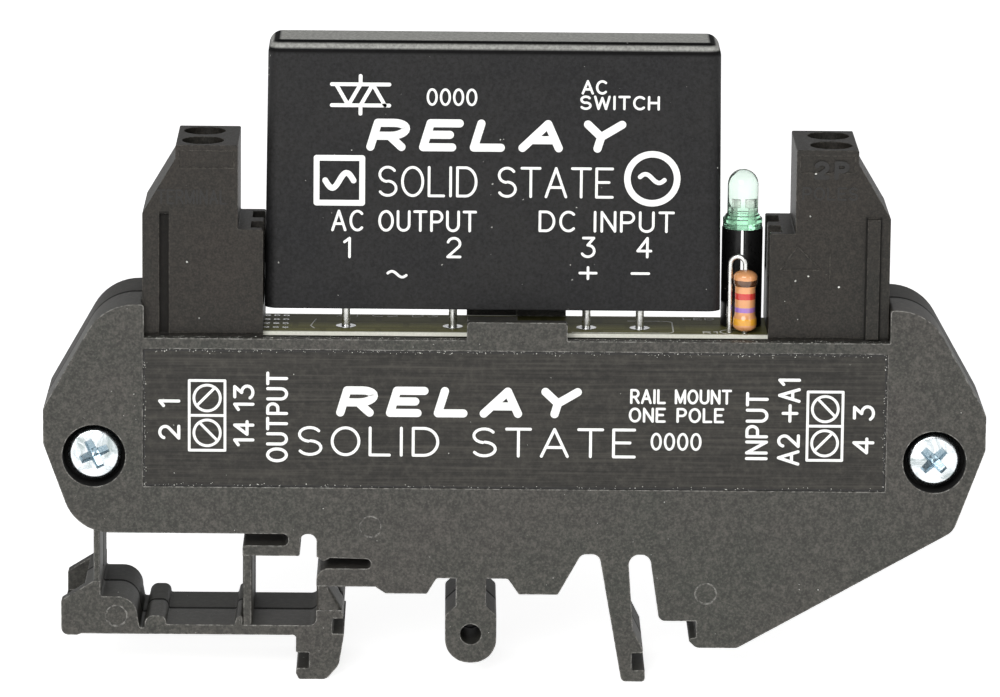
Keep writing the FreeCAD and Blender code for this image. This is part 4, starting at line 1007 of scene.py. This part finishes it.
class RELAY_OT_block(bpy.types.Operator):
    """Finish the relay block, its pins and what is cast inside it"""
    bl_idname = "relay.block"
    bl_label = "Relay block"

    def execute(self, context):
        chosen = context.scene.relay_block
        skin = finish_named("relay_plastic_skin", moulded, chosen.plastic, chosen.patch, roughness=0.55,
                            grain=3600.0, depth=0.04 * MM, radius=chosen.edge_radius, edge=(0.06, 0.06, 0.06),
                            edge_share=0.3, dust_scale=800.0, dust_reach=0.09, dust_share=0.5, patches=140.0,
                            contrast=0.5, shine=0.2, shade=relay_shade, settled=0.9)
        paint(skin, "relay_case")
        paint(lead_tin(), "relay_pins")
        resin = finish_named("potting_resin_skin", moulded, (0.016, 0.016, 0.017), (0.022, 0.021, 0.02),
                             roughness=0.3, grain=900.0, depth=0.02 * MM, dust_share=0.1)
        paint(resin, "relay_potting")
        plate = finish_named("ceramic_skin", moulded, (0.80, 0.80, 0.76), (0.74, 0.74, 0.70), roughness=0.6,
                             edge=(0.86, 0.86, 0.84), dust_share=0.0)
        paint(plate, "relay_substrate")
        chip = finish_named("silicon_skin", moulded, (0.16, 0.16, 0.19), (0.12, 0.12, 0.16), roughness=0.2,
                            edge=(0.3, 0.3, 0.33), dust_share=0.0)
        paint(chip, "relay_thyristors")
        small = finish_named("component_black_skin", moulded, (0.02, 0.02, 0.02), (0.03, 0.03, 0.03),
                             roughness=0.5)
        paint(small, "relay_optocoupler", "relay_gate_parts")
        return {"FINISHED"}


class RELAY_OT_terminals(bpy.types.Operator):
    """Finish the terminal blocks, their screws, cages and bars, and add the moulded lettering, its words as
    painted shadow lines
    """
    bl_idname = "relay.terminals"
    bl_label = "Terminal blocks"

    def execute(self, context):
        chosen = context.scene.relay_terminals
        skin = finish_named("terminal_plastic_skin", moulded, chosen.plastic, chosen.patch, roughness=0.5,
                            grain=5200.0, depth=0.01 * MM, radius=chosen.edge_radius, edge=(0.16, 0.15, 0.13),
                            edge_share=0.6, dust_scale=800.0, dust_reach=0.08, dust_share=0.45, patches=110.0,
                            contrast=0.5, shine=0.25, shade=terminal_shade)
        paint(skin, "left_terminal_body", "right_terminal_body")
        poles = ("left_front", "left_rear", "right_front", "right_rear")
        paint(bright_zinc(), *[pole + "_screw" for pole in poles])
        nickel = finish_named("plated_cage_skin", plated, (0.74, 0.73, 0.70), (0.62, 0.61, 0.58),
                              roughness=0.3)
        paint(nickel, *[pole + "_cage" for pole in poles])
        paint(lead_tin(), *[pole + "_contact_bar" for pole in poles])
        face = front_face(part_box("left_terminal_body")[0].y)
        left, peak, right = (24.9 * MM, 34.0 * MM), (26.5 * MM, 36.3 * MM), (28.8 * MM, 34.0 * MM)
        upright = line((29.6 * MM, 35.9 * MM), (29.6 * MM, 32.8 * MM))
        paths = [line(left, peak), line(peak, right), line(right, left), upright]
        marks("terminal_scribing", of_width(paths, 0.13 * MM), chosen.relief, face, skin)
        words = lettering("TERMINAL", (-30.6 * MM, 40.55 * MM), 6.4 * MM, 1.25 * MM)
        words += lettering("POLES", (29.5 * MM, 41.35 * MM), 5.1 * MM, 1.10 * MM)
        plate = lettering("2P", (29.6 * MM, 43.6 * MM), 2.9 * MM, 1.35 * MM, gap=0.5)
        strokes = of_width(words, 0.17 * MM) + of_width(plate, 0.42 * MM)
        # Painted shadow: the moulded words are drawn as dark lines.
        marks("terminal_lettering_shadow", strokes, 0.5 * chosen.relief, face, painted_shadow_lines())
        return {"FINISHED"}


def laminate(name, mask, cut, low, high):
    """Circuit board: mask with faint tracks on the faces, pale laminate along the cut edge, painted shadow
    low down.
    """
    material, tree, shader = new_material(name)
    lumps = effect(tree, "Moulded grain", Grain_Scale=5000.0, Patch_Scale=200.0)
    dust = effect(tree, "Dust", Scale=900.0, Reach=0.07, Share=0.3)
    y, z = axes_of(tree)[1:]
    beside = maths(tree, "SUBTRACT", maths(tree, "ABSOLUTE", y), (high.y - low.y) / 2)
    margin = spread(tree, maths(tree, "ADD", beside, product(tree, lumps["Height"], 0.04 * MM)), -0.32 * MM,
                    -0.26 * MM)
    # Painted shadow: the cut edge turns near black below its top, where the housing wall shades it.
    painted_edge_shadow = spread(tree, z, high.z - 0.33 * MM, high.z - 0.37 * MM)
    track = node(tree, "TexBrick", {"Vector": object_space(tree, shift=(0.013, 0.0021, 0.0)), "Scale": 95.0,
                                    "Mortar Size": 0.035, "Mortar Smooth": 0.4, "Color1": (1, 1, 1, 1),
                                    "Color2": (1, 1, 1, 1), "Mortar": (0, 0, 0, 1)})
    green = blend_colours(tree, lumps["Patches"], four(mask), scaled(mask, 0.75))
    green = blend_colours(tree, spread(tree, lumps["Spots"], 0.5, 1.0, 0.0, 0.4), green, scaled(mask, 1.8))
    green = blend_colours(tree, product(tree, track.outputs["Fac"], 0.45), green, scaled(mask, 0.5))
    pale = blend_colours(tree, spread(tree, lumps["Spots"], 0.2, 0.8, 0.0, 0.4), four(cut), scaled(cut, 0.72))
    pale = blend_colours(tree, painted_edge_shadow, pale, (0.012, 0.012, 0.008, 1.0))
    base = blend_colours(tree, margin, green, pale)
    base = blend_colours(tree, dust["Mask"], base, DUST_COLOUR)
    rough = spread(tree, margin, 0.0, 1.0, 0.48, 0.7)
    raised = maths(tree, "ADD", product(tree, lumps["Height"], 0.2),
                   product(tree, track.outputs["Fac"], -0.8))
    dress(tree, shader, base, rough, raised, 0.5, 0.03 * MM)
    shader.inputs["Specular IOR Level"].default_value = 0.06
    return material


class RELAY_OT_board(bpy.types.Operator):
    """Finish the circuit board and add its pads, holes and printing"""
    bl_idname = "relay.board"
    bl_label = "Circuit board"

    def execute(self, context):
        chosen = context.scene.relay_board
        low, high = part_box("circuit_board")
        paint(finish_named("board_laminate_skin", laminate, chosen.mask, chosen.cut_edge, low, high),
              "circuit_board")
        solder = finish_named("solder_skin", plated, (0.72, 0.73, 0.74), (0.60, 0.61, 0.62), roughness=0.2,
                              scratch=900.0)
        paint(solder, "solder_joints")
        paths = lettering("A1 C2 D3", (-12.2 * MM, 3.45 * MM), 9.6 * MM, 0.85 * MM)
        paths += lettering("LED", (17.6 * MM, 3.1 * MM), 2.9 * MM, 0.85 * MM)
        paths += lettering("R1", (18.5 * MM, -3.0 * MM), 1.3 * MM, 0.8 * MM)
        tracks = [line((-19.0, 1.7), (-19.45, -1.3)), line((-19.45, -1.3), (-19.1, -2.4)),
                  line((5.4, -3.45), (14.3, -3.45)), arc(14.3, -2.75, 0.7, 0.7, -90, 0, 8),
                  line((15.0, -2.75), (15.0, 1.2)), arc(14.3, 1.2, 0.7, 0.7, 0, 90, 8),
                  line((14.3, 1.9), (10.8, 1.9)), arc(21.75, -2.7, 2.3, 1.35, 100, 290, 30)]
        paths += [track * MM for track in tracks]
        print_ink = finish_named("board_print_ink", ink, chosen.print_ink)
        marks("board_printing", of_width(paths, 0.13 * MM), 0.012 * MM, top_face(high.z), print_ink)
        hole = ((0.14, 0.0), (0.16, 0.02), (0.30, 0.02), (0.32, 0.0))
        rings = [plated_ring(x, y, high.z, hole, 24)
                 for x in (-23.65, -22.75, -21.85) for y in (3.2, 1.4, -0.4, -2.2)]
        piece(rings, "board_via_rings", solder)
        pad = ((0.46, 0.0), (0.47, 0.03), (0.95, 0.03), (0.98, 0.0))
        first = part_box("relay_pins")[0].x / MM + 0.4
        pads = [plated_ring(first + step, -1.2, high.z, pad, 40) for step in (0.0, 10.16, 22.86, 27.94)]
        piece(pads, "board_pin_pads", solder)
        return {"FINISHED"}


# Where each stretch of the resistor starts, as a share of its length, and its colour; None is the bare coat.
RESISTOR_BANDS = (
    (0.0, None), (0.120, (0.88, 0.42, 0.03)), (0.225, None), (0.325, (0.36, 0.17, 0.55)), (0.405, None),
    (0.535, (0.62, 0.03, 0.03)), (0.635, None), (0.745, (0.045, 0.018, 0.010)), (0.845, None),
)


def banded_lacquer(name, coat, low_z, high_z):
    """Glossy lacquer with painted bands at set heights."""
    material, tree, shader = new_material(name)
    lumps = effect(tree, "Moulded grain", Grain_Scale=1800.0, Patch_Scale=600.0)
    wobble = 0.12 * MM
    height = maths(tree, "MULTIPLY_ADD", lumps["Height"], wobble, axes_of(tree)[2])
    part = spread(tree, height, low_z + wobble / 2, high_z + wobble / 2)
    ramp = node(tree, "ValToRGB", {0: part})
    ramp.color_ramp.interpolation = "CONSTANT"
    stops = [(start, colour or coat) for start, colour in RESISTOR_BANDS]
    while len(ramp.color_ramp.elements) < len(stops):
        ramp.color_ramp.elements.new(0.5)
    for element, (position, colour) in zip(ramp.color_ramp.elements, stops):
        element.position = position
        element.color = four(colour)
    base = blend_colours(tree, spread(tree, lumps["Patches"], 0.2, 1.0, 0.0, 0.25), ramp.outputs[0],
                         scaled(coat, 0.7))
    rough = spread(tree, lumps["Height"], 0.3, 0.7, 0.12, 0.26)
    dress(tree, shader, base, rough, lumps["Height"], 0.25, 0.02 * MM)
    shader.inputs["Coat Weight"].default_value = 0.7
    shader.inputs["Coat Roughness"].default_value = 0.08
    return material


def tinted_epoxy(name, colour, seat_z):
    """Tinted clear epoxy: glass-like, faintly cloudy, with moulding ripples, and greener in the flange."""
    material, tree, shader = new_material(name)
    lumps = effect(tree, "Moulded grain", Grain_Scale=700.0, Patch_Scale=500.0)
    cloudy = four([min(1.0, 1.04 * channel) for channel in colour])
    base = blend_colours(tree, lumps["Patches"], four(colour), cloudy)
    foot = spread(tree, axes_of(tree)[2], seat_z + 2.4 * MM, seat_z + 0.9 * MM)
    base = blend_colours(tree, foot, base, four([0.55 * colour[0], 0.93 * colour[1], 0.70 * colour[2]]))
    rough = spread(tree, lumps["Height"], 0.3, 0.7, 0.03, 0.10)
    dress(tree, shader, base, rough, lumps["Height"], 0.15, 0.03 * MM)
    shader.inputs["Transmission Weight"].default_value = 0.92
    shader.inputs["IOR"].default_value = 1.48
    return material


class RELAY_OT_lamp(bpy.types.Operator):
    """Build the green lamp on its tube"""
    bl_idname = "relay.lamp"
    bl_label = "Indicator lamp"

    def execute(self, context):
        chosen = context.scene.relay_lamp
        low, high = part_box("led_lens")
        x, y = (low.x + high.x) / 2, (low.y + high.y) / 2
        radius, rim = 1.48 * MM, (high.x - low.x) / 2
        flange = [(-0.06, 0.0), (0.0, 0.06), (0.0, 0.44), (-0.05, 0.50), (0.0, 0.56), (0.0, 0.92),
                  (-0.08, 1.0)]
        neck = [(0.22, 1.0), (0.16, 1.22), (0.03, 1.32), (0.0, 1.45)]
        profile = [(0.0, low.z)] + [(rim + out * MM, low.z + up * MM) for out, up in flange]
        profile += [(radius + out * MM, low.z + up * MM) for out, up in neck]
        dome = np.radians(np.linspace(0, 90, 22))
        profile += [(radius * math.cos(a), high.z - radius + radius * math.sin(a)) for a in dome]
        skin = finish_named("green_lens_skin", tinted_epoxy, chosen.lens, low.z)
        grid = turned_profile(np.array(profile), x, y, 72)
        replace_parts(piece([(grid, False, True)], "lamp_lens", skin), "led_lens")
        paint(lead_tin(), "led_anode_lead", "led_cathode_lead")
        tube = finish_named("spacer_plastic_skin", moulded, (0.006, 0.006, 0.006), (0.009, 0.009, 0.009),
                            roughness=0.34, edge=(0.08, 0.08, 0.08), edge_share=0.3, dust_share=0.2)
        paint(tube, "led_spacer")
        return {"FINISHED"}


class RELAY_OT_resistor(bpy.types.Operator):
    """Build the banded resistor beside the lamp"""
    bl_idname = "relay.resistor"
    bl_label = "Resistor"

    def execute(self, context):
        chosen = context.scene.relay_lamp
        low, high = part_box("resistor_body")
        x, y = (low.x + high.x) / 2, (low.y + high.y) / 2
        thick = (high.x - low.x) / 2
        part = np.linspace(0.0, 1.0, 90)
        length = high.z - low.z
        end = np.minimum(part, 1 - part) * length
        waist = thick - 0.15 * MM * (0.5 - 0.5 * np.cos(np.pi * np.clip((end - 1.15 * MM) / (0.6 * MM), 0,
                                                                        1)))
        round_end = np.sqrt(np.clip(1 - (1 - np.clip(end / (0.62 * MM), 0, 1)) ** 2, 0, 1))
        radius = waist * round_end
        profile = np.stack([radius, low.z + part * length], axis=1)
        grid = turned_profile(profile, x, y, 72)
        coat = finish_named("resistor_coat_skin", banded_lacquer, chosen.coat, low.z, high.z)
        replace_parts(piece([(grid, False, True)], "resistor_barrel", coat), "resistor_body")
        paint(lead_tin(), "resistor_top_lead", "resistor_bottom_lead")
        return {"FINISHED"}


# ---------------------------------------------------------------- stage

# Name, place, aim, size (m) and power (W) of each soft light.
SOFTBOXES = (
    ("key_softbox", (-0.30, -0.95, 0.50), (0.0, 0.0, 0.025), (0.7, 0.6), 8.0),
    ("fill_softbox", (0.75, -0.60, 0.30), (0.0, 0.0, 0.025), (0.3, 0.6), 1.6),
    ("back_softbox", (0.0, 1.40, 0.38), (0.0, 0.0, 0.03), (1.5, 0.45), 1.3),
)
WORLD_STRENGTH = 0.20
FLOOR_GLOW = 0.80
CAMERA_PLACE = (-0.007092, -0.610421, 0.157843)
CAMERA_LENS = 235.72
CAMERA_TILT, CAMERA_SWING, CAMERA_ROLL = (math.radians(angle) for angle in (12.27, 0.533, 0.578))


def softbox(name, place, aim, size, power):
    """A square area light that looks at a point."""
    lamp = bpy.data.lights.new(name, "AREA")
    lamp.shape = "RECTANGLE"
    lamp.size, lamp.size_y = size
    lamp.energy = power
    held = bpy.data.objects.new(name, lamp)
    held.location = place
    held.rotation_euler = (Vector(aim) - Vector(place)).to_track_quat("-Z", "Y").to_euler()
    bpy.context.scene.collection.objects.link(held)
    return held


class RELAY_OT_stage(bpy.types.Operator):
    """Set up the floor, the soft light and the camera"""
    bl_idname = "relay.stage"
    bl_label = "Studio"

    def execute(self, context):
        scene = context.scene
        chosen = scene.relay_stage
        half = chosen.floor_size / 2
        level = CAD_BOX[0][2]
        sheet = bpy.data.meshes.new("studio_floor")
        corners = [(-half, -half, level), (half, -half, level), (half, half, level), (-half, half, level)]
        sheet.from_pydata(corners, [], [(0, 1, 2, 3)])
        floor = bpy.data.objects.new("studio_floor", sheet)
        scene.collection.objects.link(floor)
        material, _, shader = new_material("pale_floor")
        shader.inputs["Base Color"].default_value = four(chosen.floor)
        shader.inputs["Roughness"].default_value = 0.9
        shader.inputs["Emission Color"].default_value = (1, 1, 1, 1)
        shader.inputs["Emission Strength"].default_value = FLOOR_GLOW
        sheet.materials.append(material)
        world = bpy.data.worlds.new("studio_world")
        world.use_nodes = True
        world.node_tree.nodes["Background"].inputs[0].default_value = (1, 1, 1, 1)
        world.node_tree.nodes["Background"].inputs[1].default_value = WORLD_STRENGTH
        scene.world = world
        for held in SOFTBOXES:
            softbox(*held)
        lens = bpy.data.cameras.new("studio_camera")
        lens.sensor_width = 36.0
        lens.sensor_fit = "HORIZONTAL"
        lens.lens = CAMERA_LENS
        lens.clip_start = 0.01
        lens.clip_end = 20.0
        camera = bpy.data.objects.new("studio_camera", lens)
        level_ahead = Vector((math.sin(CAMERA_SWING), math.cos(CAMERA_SWING), 0.0))
        ahead = math.cos(CAMERA_TILT) * level_ahead - math.sin(CAMERA_TILT) * Vector((0.0, 0.0, 1.0))
        right = Vector((math.cos(CAMERA_SWING), -math.sin(CAMERA_SWING), 0.0))
        up = right.cross(ahead)
        across = math.cos(CAMERA_ROLL) * right + math.sin(CAMERA_ROLL) * up
        upward = -math.sin(CAMERA_ROLL) * right + math.cos(CAMERA_ROLL) * up
        turn = Matrix((across, upward, -ahead)).transposed()
        camera.matrix_world = Matrix.Translation(CAMERA_PLACE) @ turn.to_4x4()
        scene.collection.objects.link(camera)
        scene.camera = camera
        scene.view_settings.view_transform = "Standard"
        return {"FINISHED"}


class RELAY_PT_panel(bpy.types.Panel):
    """Steps that build the relay module's looks"""
    bl_idname = "RELAY_PT_panel"
    bl_label = "Relay module"
    bl_space_type = "VIEW_3D"
    bl_region_type = "UI"
    bl_category = "Relay"

    def draw(self, context):
        for step in STEPS:
            self.layout.operator(step.bl_idname)


SETTINGS = {
    "relay_housing": RelayHousingSettings, "relay_marks": RelayMarkSettings,
    "relay_block": RelayBlockSettings,
    "relay_terminals": RelayTerminalSettings, "relay_board": RelayBoardSettings,
    "relay_lamp": RelayLampSettings,
    "relay_stage": RelayStageSettings,
}
STEPS = (RELAY_OT_housing, RELAY_OT_flexures, RELAY_OT_housing_screws, RELAY_OT_dust, RELAY_OT_label_marks,
         RELAY_OT_block,
         RELAY_OT_block_marks, RELAY_OT_terminals, RELAY_OT_board, RELAY_OT_lamp, RELAY_OT_resistor,
         RELAY_OT_stage)


def register():
    """Registers the settings, the steps and the panel."""
    for name, kind in SETTINGS.items():
        bpy.utils.register_class(kind)
        setattr(bpy.types.Scene, name, PointerProperty(type=kind))
    for step in STEPS:
        bpy.utils.register_class(step)
    bpy.utils.register_class(RELAY_PT_panel)


def unregister():
    """Undoes register."""
    bpy.utils.unregister_class(RELAY_PT_panel)
    for step in reversed(STEPS):
        bpy.utils.unregister_class(step)
    for name, kind in SETTINGS.items():
        delattr(bpy.types.Scene, name)
        bpy.utils.unregister_class(kind)


def main():
    """Runs every step in order."""
    register()
    bpy.ops.relay.housing()
    bpy.ops.relay.flexures()
    bpy.ops.relay.housing_screws()
    bpy.ops.relay.dust()
    bpy.ops.relay.label_marks()
    bpy.ops.relay.block()
    bpy.ops.relay.block_marks()
    bpy.ops.relay.terminals()
    bpy.ops.relay.board()
    bpy.ops.relay.lamp()
    bpy.ops.relay.resistor()
    bpy.ops.relay.stage()
    bpy.context.view_layer.update()


if __name__ == "__main__":
    main()
